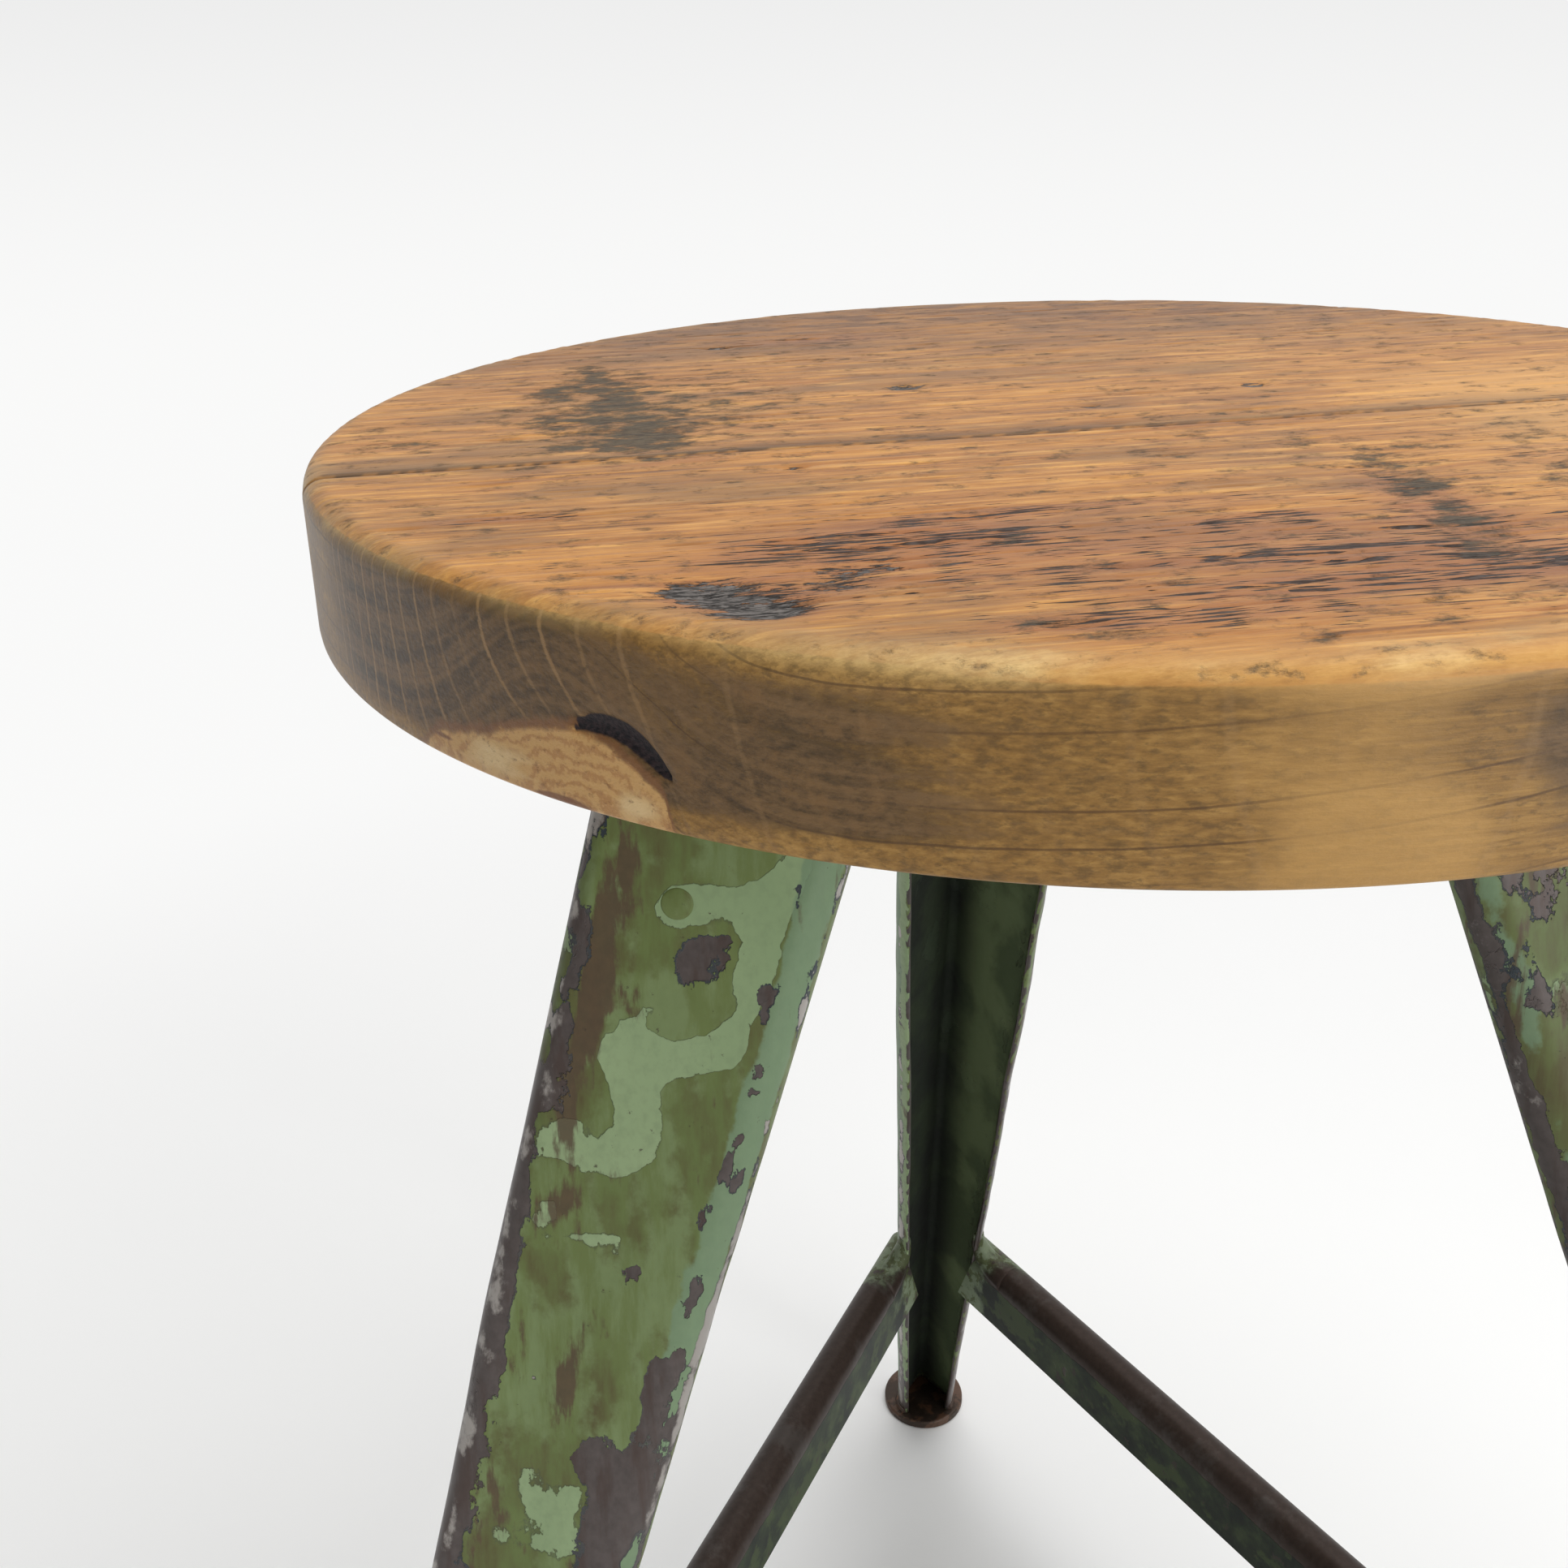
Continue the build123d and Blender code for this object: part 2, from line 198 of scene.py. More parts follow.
class Finish:
    """A material's node graph, with one short method for each kind of node; places are in millimetres."""

    def __init__(self, name, roughness=0.5, turn=0, shift=(0, 0, 0)):
        self.material = bpy.data.materials.new(name)
        self.material.use_nodes = True
        self.tree = self.material.node_tree
        self.shader = self.tree.nodes["Principled BSDF"]
        self.give(self.shader, {"Roughness": roughness})
        place = self.put("TexCoord").outputs["Object"]
        self.mm = self.put("Mapping", place, shift, (0, 0, turn), (1000, 1000, 1000)).outputs[0]

    def feed(self, socket, value):
        if isinstance(value, bpy.types.NodeSocket):
            self.tree.links.new(value, socket)
        elif value is not None:
            socket.default_value = value

    def give(self, node, named):
        for socket, value in named.items():
            self.feed(node.inputs[socket], value)
        return node

    def put(self, kind, *values, **settings):
        node = self.tree.nodes.new("ShaderNode" + kind)
        for key, value in settings.items():
            setattr(node, key, value)
        for socket, value in zip(node.inputs, values):
            self.feed(socket, value)
        return node

    def sums(self, operation, *values):
        return self.put("Math", *values, operation=operation).outputs[0]

    def less(self, value, other):
        return self.sums("SUBTRACT", value, other)

    def plus(self, value, *others):
        for other in others:
            value = self.sums("ADD", value, other)
        return value

    def times(self, value, *others):
        for other in others:
            value = self.sums("MULTIPLY", value, other)
        return value

    def blend(self, *parts):
        """The sum of several values, each times its share."""
        return self.plus(*(self.times(value, share) for value, share in parts))

    def swing(self, noise, gain):
        """A noise counted from its middle, times a gain."""
        return self.times(self.less(noise, 0.5), gain)

    def shake(self, value, noise, gain):
        """A value moved up and down by a noise."""
        return self.plus(value, self.swing(noise, gain))

    def far(self, x, y):
        """The distance from the origin."""
        return self.sums("SQRT", self.plus(self.times(x, x), self.times(y, y)))

    def ease(self, value, low, high, start=0, end=1):
        node = self.put("MapRange", value, low, high, start, end, interpolation_type="SMOOTHSTEP")
        return node.outputs[0]

    def noise(self, where, scale=1, detail=4, rough=0.55, warp=0):
        named = {"Vector": where, "Scale": scale, "Detail": detail, "Roughness": rough, "Distortion": warp}
        return self.give(self.put("TexNoise"), named).outputs[0]

    def flecks(self, size, detail=4, rough=0.55, shift=(0, 0, 0), warp=0):
        """Noise with flecks of this size in millimetres along each axis."""
        where = self.put("Mapping", self.mm, shift, None, [1 / length for length in size])
        return self.noise(where.outputs[0], 1, detail, rough, warp)

    def join(self, x, y):
        return self.put("CombineXYZ", x, y, 0).outputs[0]

    def split(self, vector):
        return self.put("SeparateXYZ", vector).outputs

    def mark(self, name):
        return self.put("Attribute", attribute_name=name).outputs["Fac"]

    def chance(self, number):
        return self.put("TexWhiteNoise", None, number, noise_dimensions="1D").outputs[0]

    def from_half(self, count):
        """How far the part of a count after the point lies from a half."""
        return self.sums("ABSOLUTE", self.less(self.sums("FRACT", count), 0.5))

    def lines(self, count, width):
        """Thin lines at the whole numbers of a smooth count, each with its own strength."""
        own = self.chance(self.sums("FLOOR", self.plus(count, 0.5)))
        line = self.ease(self.from_half(count), 0.5 - width, 0.5 - 0.3 * width)
        return self.times(line, self.ease(own, 0, 0.9, 0.25, 1))

    def checks(self, u, v, length, width, torn, ragged):
        """Pointed cracks along the grain, one to a cell, each as long as the wear there lets it grow."""
        where = self.join(self.sums("DIVIDE", u, length), self.sums("DIVIDE", v, width))
        cells = self.put("TexVoronoi", voronoi_dimensions="2D", feature="F1", distance="MANHATTAN")
        self.give(cells, {"Vector": where, "Scale": 1})
        own = self.split(cells.outputs["Color"])[0]
        reach = self.sums("MINIMUM", self.times(self.less(torn, own), 0.62), 0.46)
        away = self.shake(cells.outputs["Distance"], ragged, 0.45)
        return self.ease(self.less(reach, away), 0, 0.06)

    def colours(self, value, *stops):
        node = self.put("ValToRGB", value)
        ramp = node.color_ramp
        while len(ramp.elements) < len(stops):
            ramp.elements.new(0.5)
        for element, (at, colour) in zip(ramp.elements, stops):
            element.position = at
            element.color = (*colour, 1)
        return node.outputs[0]

    def over(self, share, under, top):
        node = self.put("Mix", share, data_type="RGBA", clamp_factor=True)
        for socket, value in zip(node.inputs[6:8], (under, top)):
            self.feed(socket, value if isinstance(value, bpy.types.NodeSocket) else (*value, 1))
        return node.outputs[2]

    def tint(self, under, top, value, low, high, share=1):
        """One colour over another, up to a share, where a value goes from low to high."""
        return self.over(self.ease(value, low, high, 0, share), under, top)

    def relief(self, height, depth):
        bump = self.give(self.put("Bump"), {"Strength": 1, "Distance": depth, "Height": height})
        self.give(self.shader, {"Normal": bump.outputs[0]})

    def wear(self, colour, roughness=None, metal=None):
        self.give(self.shader, {"Base Color": colour, "Roughness": roughness, "Metallic": metal})
        return self.material


def reclaimed_board(name, pith, spacing, shift):
    """Old softwood: growth rings round a pith line along the grain, checks, stains, a weathered edge and a knot, with
    painted light and shade on the top and the edge.
    """
    f = Finish(name, turn=-joint_turn, shift=shift)
    edge_mark, torn, hollow, smudge, aged, bark, pale_mark = map(
        f.mark, ("edge", "torn", "hollow", "smudge", "aged", "bark", "pale"))
    coat = f.times(edge_mark, f.ease(bark, 0, 0.4, 0.22, 0))
    f.give(f.shader, {"Specular IOR Level": 0.2, "Coat Weight": coat, "Coat Roughness": 0.35})
    u, v, w = f.split(f.mm)
    slow = f.flecks((230, 50, 50), 2)
    drift = f.flecks((80, 20, 14), 3)
    fibre = f.flecks((46, 0.9, 0.9), 5, 0.62)
    streak = f.flecks((120, 4.5, 4.5))
    cloud = f.flecks((70, 26, 26), 4, 0.6)
    pores = f.flecks((2.6, 0.45, 0.6), 2)
    broken = f.flecks((6, 6, 6), 6, 0.7)
    fuzz = f.flecks((3.2, 1.3, 1.1), 5, 0.68, (1, 6, 2))
    fleck = f.flecks((13, 2.4, 2.4), 5, 0.66, (4, 9, 0))
    dull = f.flecks((34, 9, 9), 5, 0.65, (2, 4, 0))
    soot = f.flecks((17, 8, 8), 6, 0.66, (6, 1, 0))
    speck = f.flecks((8, 5, 4), 7, 0.72)
    chunk = f.flecks((4.6, 1.2, 3), 7, 0.78, (5, 3, 0))
    sliver = f.flecks((3, 0.7, 2), 5, 0.72, (2, 7, 0))

    # Growth rings: whole numbers of the distance from the pith over the spacing
    side = f.shake(f.less(v, pith[0]), slow, 40)
    lift = f.shake(f.less(w, pith[1]), drift, 10)
    count = f.sums("DIVIDE", f.shake(f.far(side, lift), drift, 5), spacing)
    ring = f.sums("FRACT", count)
    year = f.chance(f.sums("FLOOR", count))
    late = f.times(f.ease(ring, 0.35, 0.88), f.ease(ring, 1, 0.95))

    # Planed, waxed top: honey to red-brown along the fibres, dulled in clouds, darker in patches towards the back, and
    # brighter towards the right front as painted light
    honey = f.colours(
        f.blend((streak, 0.3), (fibre, 0.35), (fleck, 0.35)), (0.38, (0.19, 0.073, 0.015)),
        (0.455, (0.375, 0.155, 0.033)), (0.525, (0.505, 0.228, 0.052)), (0.6, (0.69, 0.355, 0.092)))
    honey = f.over(f.times(late, f.ease(year, 0.2, 1, 0.1, 0.55)), honey, (0.32, 0.115, 0.03))
    honey = f.tint(honey, (0.22, 0.115, 0.042), cloud, 0.48, 0.66, 0.62)
    honey = f.tint(honey, (0.22, 0.1, 0.032), dull, 0.52, 0.68, 0.6)
    honey = f.tint(honey, (0.6, 0.27, 0.055), cloud, 0.46, 0.3, 0.35)
    honey = f.over(f.times(f.ease(soot, 0.42, 0.62, 0.5, 1), aged), honey, (0.16, 0.072, 0.026))
    # Painted light: a lighter honey where the mark falls below 0, towards the right front
    honey = f.tint(honey, (0.76, 0.41, 0.125), aged, 0, -0.6, 0.45)

    # Sawn edge: golden brown with dark growth lines, grey in streaks, with pale lines on the end grain; the grey is
    # partly weathering and partly painted shade, strongest at the left, and a lighter gold at the front is painted
    # light
    gold = f.colours(
        f.blend((cloud, 0.5), (fibre, 0.5)), (0.34, (0.13, 0.066, 0.016)), (0.5, (0.27, 0.142, 0.034)),
        (0.66, (0.44, 0.25, 0.068)))
    gold = f.tint(gold, (0.1, 0.056, 0.017), fuzz, 0.47, 0.66, 0.6)
    bent = f.shake(f.mark("sweep"), drift, 0.35)
    gold = f.over(f.times(f.lines(bent, 0.05), 0.7), gold, (0.075, 0.034, 0.01))
    flow = f.noise(f.join(f.times(bent, 1.7), f.sums("DIVIDE", u, 60)), 1, 5, 0.6)
    grime_and_shade = f.ease(f.shake(f.shake(smudge, broken, 0.6), flow, 1), 0.22, 0.8)
    grey = f.tint((0.04, 0.024, 0.01), (0.178, 0.101, 0.041), f.blend((flow, 0.6), (fuzz, 0.4)), 0.38, 0.62)
    grey = f.tint(grey, (0.188, 0.099, 0.034), broken, 0.5, 0.66, 0.55)
    edge = f.over(f.times(grime_and_shade, 0.92), gold, grey)
    pale = f.lines(f.shake(f.mark("phase"), broken, 0.25), 0.085)
    pale = f.times(pale, f.ease(fuzz, 0.3, 0.52, 0.35, 1), f.mark("rings"))
    edge = f.over(pale, edge, (0.33, 0.195, 0.08))
    # Painted light: a lighter gold at the front of the edge, where the mark falls below 0
    edge = f.tint(edge, (0.5, 0.285, 0.085), smudge, -0.05, -0.55, 0.65)
    colour = f.tint(honey, edge, f.shake(edge_mark, broken, 0.5), 0.38, 0.62)

    # Golden arris where the finish has gathered and hands have rubbed it, with a painted highlight along it that is
    # strongest at the front and right
    rubbed = f.times(f.mark("arris"), f.ease(fuzz, 0.35, 0.65, 1, 0.6))
    colour = f.over(rubbed, colour, f.tint((0.63, 0.345, 0.105), (0.85, 0.6, 0.26), cloud, 0.4, 0.56))

    # Blackened checks, stains and flaked-out holes
    bowed = f.shake(v, drift, 7)
    tear = 0
    for shift, length, width, share, ragged in (
            (0, 46, 1.9, 0.72, fibre), (0, 15, 1.15, 1, broken), (3.7, 8, 0.75, 0.85, fuzz)):
        crack = f.checks(f.plus(u, shift), bowed, length, width, f.times(torn, share), ragged)
        tear = f.sums("MAXIMUM", tear, crack)
    tear = f.times(tear, f.ease(edge_mark, 0.5, 0.1))
    stain = f.ease(f.plus(speck, f.times(f.mark("stain"), 0.25)), 0.52, 0.74)
    stain = f.times(stain, f.ease(edge_mark, 0.1, 0.5, 1, 0.15))
    flaked = f.times(f.ease(f.shake(hollow, chunk, 3), 0.46, 0.58), f.ease(hollow, 0.04, 0.2))
    dark = f.tint((0.01, 0.009, 0.01), (0.06, 0.054, 0.052), pores, 0.44, 0.6)
    blot = f.tint((0.017, 0.018, 0.016), (0.092, 0.08, 0.056), sliver, 0.36, 0.6)
    ashen = f.tint((0.018, 0.015, 0.013), (0.165, 0.148, 0.136), sliver, 0.42, 0.58)
    colour = f.tint(colour, (0.29, 0.104, 0.04), torn, 0.22, 0.9, 0.62)
    colour = f.over(f.times(tear, 0.92), colour, dark)
    colour = f.over(f.times(stain, 0.92), colour, blot)
    colour = f.over(flaked, colour, ashen)

    # Knot on the edge: a pale heart with curved lines and burnt marks, under a crescent of bark
    heart = f.shake(f.mark("heart"), broken, 0.8)
    curl = f.from_half(f.times(f.shake(f.mark("whorl"), broken, 0.8), 4.6))
    wood = f.tint((0.44, 0.225, 0.076), (0.57, 0.335, 0.125), curl, 0.02, 0.34)
    wood = f.tint(wood, (0.7, 0.5, 0.25), f.shake(pale_mark, speck, 0.9), 0.25, 0.95)
    wood = f.tint(wood, (0.17, 0.06, 0.026), f.shake(pale_mark, broken, 0.5), -0.25, -0.5, 0.85)
    wood = f.tint(wood, (0.17, 0.07, 0.024), fuzz, 0.56, 0.7, 0.6)
    colour = f.tint(colour, wood, heart, 0.35, 0.6)
    ringed = f.times(f.ease(heart, 0.1, 0.35), f.ease(heart, 0.62, 0.38, 0, 0.75))
    colour = f.over(ringed, colour, (0.22, 0.095, 0.034))
    rind = f.tint((0.006, 0.004, 0.006), (0.03, 0.019, 0.02), pores, 0.35, 0.65)
    colour = f.tint(colour, rind, f.shake(bark, broken, 0.5), 0.3, 0.5)
    seam = f.times(f.mark("glue"), f.ease(fibre, 0.36, 0.56, 0.6, 1.15))
    colour = f.over(seam, colour, (0.066, 0.038, 0.018))

    sunk = f.plus(tear, flaked, f.times(stain, 0.4))
    height = f.plus(f.blend((fibre, 0.4), (pores, 0.12)), f.times(fuzz, edge_mark, 0.6))
    f.relief(f.less(height, sunk), 0.0004)
    gloss = f.ease(f.plus(tear, stain, flaked), 0, 1, 0.42, 0.65)
    return f.wear(colour, f.shake(gloss, fibre, 0.15))


def layered_paint(name, bare, wear_gain=1, marked=True):
    """Many coats of green on steel: mint over olive over slate, rubbed to brown metal where the wear mark is high."""
    f = Finish(name)
    f.give(f.shader, {"Specular IOR Level": 0.35})
    large = f.flecks((30, 30, 36), 6, warp=0.3)
    flake = f.flecks((17, 17, 24), 6, 0.6, (7.3, 2.1, 4.4))
    chip = f.flecks((9, 9, 13), 6, 0.64, (1.7, 9.2, 5.5))
    fine = f.flecks((2, 2, 2.6), 4, 0.6)
    runs = f.flecks((4, 4, 60), 5, 0.6, (3.1, 1.4, 0.2))
    haze = f.flecks((60, 60, 80), 2, shift=(2, 5, 1))
    worn, mint_bias, rusty = (
        f.mark(m) if marked else even for m, even in (("worn", 0.25), ("mint", 0.35), ("rusty", 0.3)))

    # Lowest green: olive brown to grass with dark runs, lighter sage over part of it
    olive = f.colours(
        f.blend((flake, 0.45), (runs, 0.55)), (0.34, (0.08, 0.068, 0.02)), (0.44, (0.098, 0.112, 0.032)),
        (0.53, (0.11, 0.146, 0.04)), (0.64, (0.13, 0.182, 0.056)))
    sage = f.over(fine, (0.134, 0.184, 0.07), (0.176, 0.234, 0.095))
    sage = f.tint(sage, (0.11, 0.145, 0.034), runs, 0.4, 0.62, 0.75)
    colour = f.tint(olive, sage, f.shake(flake, haze, 0.5), 0.46, 0.58)

    # Mint over it, its flaked outline edged by a shadow line
    coat = f.shake(f.shake(mint_bias, large, 0.75), chip, 0.75)
    mint_at = f.ease(coat, 0.5, 0.515)
    mint = f.tint((0.215, 0.302, 0.152), (0.272, 0.36, 0.19), haze, 0.35, 0.65)
    mint = f.tint(mint, (0.165, 0.225, 0.115), fine, 0.4, 0.75, 0.35)
    outline = f.times(f.ease(coat, 0.465, 0.5), f.ease(coat, 0.515, 0.502), 0.6)
    colour = f.over(outline, colour, (0.062, 0.075, 0.036))
    colour = f.over(mint_at, colour, mint)
    if marked:
        # Painted reflection: a cool bluish tone on the curve towards the lips, where the teal mark is high
        reflected_bluish = f.over(fine, (0.128, 0.205, 0.118), (0.178, 0.265, 0.152))
        colour = f.tint(colour, reflected_bluish, f.shake(f.mark("teal"), flake, 0.9), 0.48, 0.56, 0.85)

    # Rust soaking through, slate primer, then bare metal, with painted glints on polished places
    rust = f.ease(f.plus(runs, f.times(rusty, 0.42), f.swing(chip, 0.5)), 0.66, 0.8, 0, 0.88)
    colour = f.over(rust, colour, f.over(fine, (0.052, 0.03, 0.018), (0.105, 0.062, 0.032)))
    colour = f.tint(colour, (0.045, 0.03, 0.018), f.noise(f.mm, 1 / 3.4, 5, 0.7), 0.66, 0.72, 0.8)
    level = f.plus(chip, f.times(worn, wear_gain * 0.5))
    slate_at = f.ease(f.shake(level, large, 0.22), 0.725, 0.735)
    slate = f.tint((0.024, 0.034, 0.042), (0.065, 0.062, 0.058), haze, 0.4, 0.6)
    colour = f.over(slate_at, colour, slate)
    bare_at = f.ease(level, 0.745, 0.765)
    metal = f.tint(f.over(fine, *bare), (0.056, 0.035, 0.028), runs, 0.45, 0.65, 0.7)
    if marked:
        # Painted glints: pale grey flecks on the bare metal where the polish mark is high, along the spine and the lips
        painted_glint = f.plus(chip, f.times(f.mark("polish"), 0.25))
        metal = f.tint(metal, (0.34, 0.315, 0.29), painted_glint, 0.66, 0.78)
    colour = f.over(bare_at, colour, metal)
    rough = f.shake(f.ease(bare_at, 0, 1, 0.46, 0.36), fine, 0.2)
    if marked:
        # Painted shade inside the fold: the inner skin is near-black green, and a lighter green on the side of the rear
        # leg that the light reaches, as the shade mark picks
        inside = f.mark("inside")
        shade_lit_green = f.tint((0.068, 0.095, 0.042), (0.135, 0.175, 0.08), large, 0.42, 0.6)
        dark = f.tint((0.005, 0.008, 0.007), (0.014, 0.022, 0.011), large, 0.42, 0.6)
        colour = f.over(inside, colour, f.over(f.mark("shade"), shade_lit_green, dark))
        rough = f.plus(rough, f.times(inside, 0.4))
    height = f.blend((mint_at, 0.5), (fine, 0.14))
    f.relief(f.less(height, f.plus(slate_at, f.times(bare_at, 0.4))), 0.0003)
    return f.wear(colour, rough, f.times(bare_at, 0.3))


def stretcher_paint(name):
    """The same green on the stretchers, darkened almost to black as painted shade, rubbed through to brown steel along
    their crowns, mint near the legs.
    """
    f = Finish(name)
    f.give(f.shader, {"Specular IOR Level": 0.2})
    x, y, z = f.split(f.mm)
    flake = f.flecks((16, 16, 16), 6, 0.6)
    blotch = f.flecks((34, 34, 20), shift=(3, 8, 1))
    fine = f.flecks((2, 2, 2))
    chip = f.flecks((8, 8, 9), 6, 0.64, (5, 2, 7))
    flaked = f.swing(chip, 0.6)
    crown = f.ease(z, stretcher_height + 4.5, stretcher_height + 7.5)
    # Dark green paint with painted shade: the ramp runs nearly to black, for the stretchers' shaded sides under the
    # seat
    paint = f.colours(
        flake, (0.38, (0.008, 0.013, 0.008)), (0.52, (0.02, 0.031, 0.014)), (0.66, (0.05, 0.072, 0.028)))
    paint = f.tint(paint, (0.05, 0.072, 0.024), f.plus(blotch, flaked), 0.5, 0.58, 0.75)
    paint = f.tint(paint, (0.04, 0.029, 0.024), chip, 0.62, 0.64, 0.8)
    near_leg = f.ease(f.shake(f.far(x, y), flake, 40), 197, 206)
    mint = f.over(fine, (0.15, 0.19, 0.115), (0.23, 0.29, 0.18))
    mint = f.tint(mint, f.over(fine, (0.06, 0.078, 0.026), (0.1, 0.125, 0.046)), chip, 0.5, 0.515, 0.9)
    mint = f.tint(mint, f.over(fine, (0.03, 0.022, 0.018), (0.085, 0.068, 0.06)), chip, 0.585, 0.6)
    paint = f.over(near_leg, paint, mint)
    steel = f.over(fine, (0.025, 0.016, 0.012), (0.06, 0.041, 0.033))
    steel = f.tint(steel, (0.075, 0.066, 0.06), flake, 0.5, 0.64, 0.5)
    through = f.ease(f.plus(flake, f.times(flaked, 0.5), f.times(crown, 0.52)), 0.66, 0.71)
    through = f.times(through, f.less(1, f.times(near_leg, 0.75)))
    f.relief(f.less(f.times(fine, 0.2), through), 0.0002)
    return f.wear(f.over(through, paint, steel), f.ease(through, 0, 1, 0.5, 0.44), f.times(through, 0.25))


def old_steel(name, dark, light, rust, share, roughness=0.5, metal=0.6):
    """Bare or rusted steel: mottled between two tones, with patches of rust over a share of it."""
    f = Finish(name, roughness)
    mottle = f.noise(f.mm, 0.35, 5, 0.65)
    rusted = f.ease(f.noise(f.mm, 0.14, 5, 0.6), 0.62 - share * 0.3, 0.7 - share * 0.3)
    f.relief(mottle, 0.0002)
    return f.wear(
        f.over(rusted, f.over(mottle, dark, light), rust),
        f.ease(mottle, 0.3, 0.7, roughness - 0.1, roughness + 0.15), f.times(f.less(1, rusted), metal))


def pale_floor(name):
    """Matt pale floor and backdrop; far from the stool the camera sees it as a glowing near-white, greying up the
    backdrop as a painted fall-off of light.
    """
    f = Finish(name, roughness=0.9)
    x, y, z = f.split(f.mm)
    f.wear(f.over(f.noise(f.mm, 0.003, 2), (0.92, 0.92, 0.915), (0.945, 0.945, 0.94)))
    f.give(f.shader, {"Specular IOR Level": 0.1})
    path = f.put("LightPath")
    seen = 0
    for ray in ("Is Camera Ray", "Is Glossy Ray", "Is Transmission Ray"):
        seen = f.sums("MAXIMUM", seen, path.outputs[ray])
    glow_and_falloff = f.put("Emission", f.colours(f.ease(z, 0, 1400), (0, paper_white), (1, (0.8, 0.8, 0.8))), 1)
    share = f.times(seen, f.ease(f.far(x, y), 360, 1200))
    both = f.put("MixShader", share, f.shader.outputs[0], glow_and_falloff.outputs[0])
    f.feed(f.tree.nodes["Material Output"].inputs["Surface"], both.outputs[0])
    return f.material


# Wear on the seat's top, each row a middle x and y from its centre, a size along and across, and a strength
torn_places = (
    (-8, -116, 122, 38, 0.44), (-60, -107, 22, 7, 0.75), (-85, -133, 13, 6, 0.9), (-80, -140, 9, 4, 0.6),
    (-118, -81, 15, 2.6, 0.75), (37, -95, 8, 22, 0.6), (33, -131, 17, 9, 0.75), (5, -124, 17, 4, 0.65),
    (4, -104, 14, 3.2, 0.65), (2, -139, 22, 3.5, 0.7), (-34, -151, 32, 5, 0.75), (74, -70, 17, 12, 0.35),
    (20, 122, 60, 12, 0.35), (-60, 102, 40, 9, 0.4), (104, 60, 30, 16, 0.45), (112, -24, 20, 14, 0.3),
    (96, -104, 22, 10, 0.6), (130, 10, 16, 26, 0.35), (-20, -92, 30, 3, 0.45))
stain_places = (
    (42, -66, 8, 9, 0.6), (40, -88, 7, 13, 0.75), (36, -110, 7, 11, 0.65), (34, -126, 8, 7, 0.5),
    (80, -56, 11, 13, 0.45), (69, -80, 8, 9, 0.4), (27, -145, 10, 4, 0.5), (-88, 20, 17, 50, 0.35),
    (-149, -16, 10, 5, 0.6), (-113, 58, 7, 22, 0.75), (-122, 36, 6, 13, 0.8), (-106, 22, 8, 30, 0.8),
    (-97, -14, 9, 18, 0.85), (-118, -6, 5, 17, 0.55), (-107, -26, 13, 6, 0.6), (-128, 12, 9, 12, 0.3))
flaked_places = (
    (-87, -126, 7, 5, 0.72), (-81, -133, 8.5, 6.5, 0.75), (-76, -138, 6, 3.5, 0.72), (-66, -126, 6, 6, 0.5),
    (-60, -120, 7, 3.5, 0.45))
nail_holes = (
    (-67.6, -52.5, 2.4, 1.3, 1), (-36, 26, 5, 3, 1), (44, 10, 3.4, 2.2, 1), (1, -7, 1.8, 1.2, 1),
    (-80, 96, 4, 2, 1))

# The knot on the edge by angle in degrees and height: its outline, then pale (+) and burnt (-) rows that end in a turn
heart_angles = (-143, -140, -137, -134.8, -131.6, -128.7, -126.2, -124.6, -123.3, -122.4)
heart_heights = (518, 525.7, 527, 529.2, 532.1, 534, 532.4, 529.2, 526.3, 517)
knot_places = (
    (-134.6, 524.6, 3.8, 3.4, 1, 0), (-125, 523.6, 1.7, 2.8, 1, 0), (-130.4, 521.4, 2.6, 1, -1, -0.1),
    (-139.6, 524.6, 1.6, 0.8, -0.8, 0), (-132.4, 524.4, 2.2, 0.7, -0.7, 0.2), (-124.6, 519.4, 1, 1.6, -0.8, 0))


def seat_marks(x, y):
    """Wear on the seat's top: how torn and how stained it is at each place."""
    torn = 0.12 + 0.22 * wander(x / 50, y / 30, 3) + spots(x, y, torn_places, joint_turn)
    stain = 0.1 * wander(x / 30, y / 30, 5) + spots(x, y, stain_places)
    return np.clip(torn, 0, 1.3), np.clip(stain, 0, 1)


def seat_hollows(x, y):
    """Depth of the flaked-out places and nail holes in the top, from 0 to 1."""
    ragged = 1 + 0.45 * wander(x / 4, y / 1.6, 8)
    return np.clip(spots(x, y, flaked_places, joint_turn) * ragged + spots(x, y, nail_holes, joint_turn), 0, 1)


def end_lines(away, drop):
    """A count that steps by one at each growth line of the end grain, going round the edge.

    The gap opens from 1 degree at -155 degrees as 1 + 0.06 (angle + 155); lower down the lines lean round the knot by
    the square of the depth. The other three corners of the seat mirror this one."""
    turned = -np.abs(away)
    turned = np.where(turned > -90, -180 - turned, turned)
    lean = 1.5 * rise(turned, -150, -138) + np.where(away < -90, 4.6 * bell(turned, -130, 6.5), 0)
    turned = turned - lean * (drop / 26) ** 2
    opened = np.maximum(turned + 155, 0)
    return np.log(1 + 0.06 * opened) / 0.06 + np.minimum(turned + 155, 0)


def crescent(away, level):
    """Bark left in the knot on the edge: a bowed band, thick in the middle and pointed at both ends."""
    along = (away + 125.9) / 2.85
    bow = 535.2 - 2.2 * along - 3 * along ** 2
    thick = (2.3 + 0.6 * along) * np.sqrt(np.clip(1.1 - along ** 2, 0, 1)) + 0.3
    return np.clip(1.15 - np.abs(level - bow) / thick, 0, 1) * (np.abs(along) < 1.06)


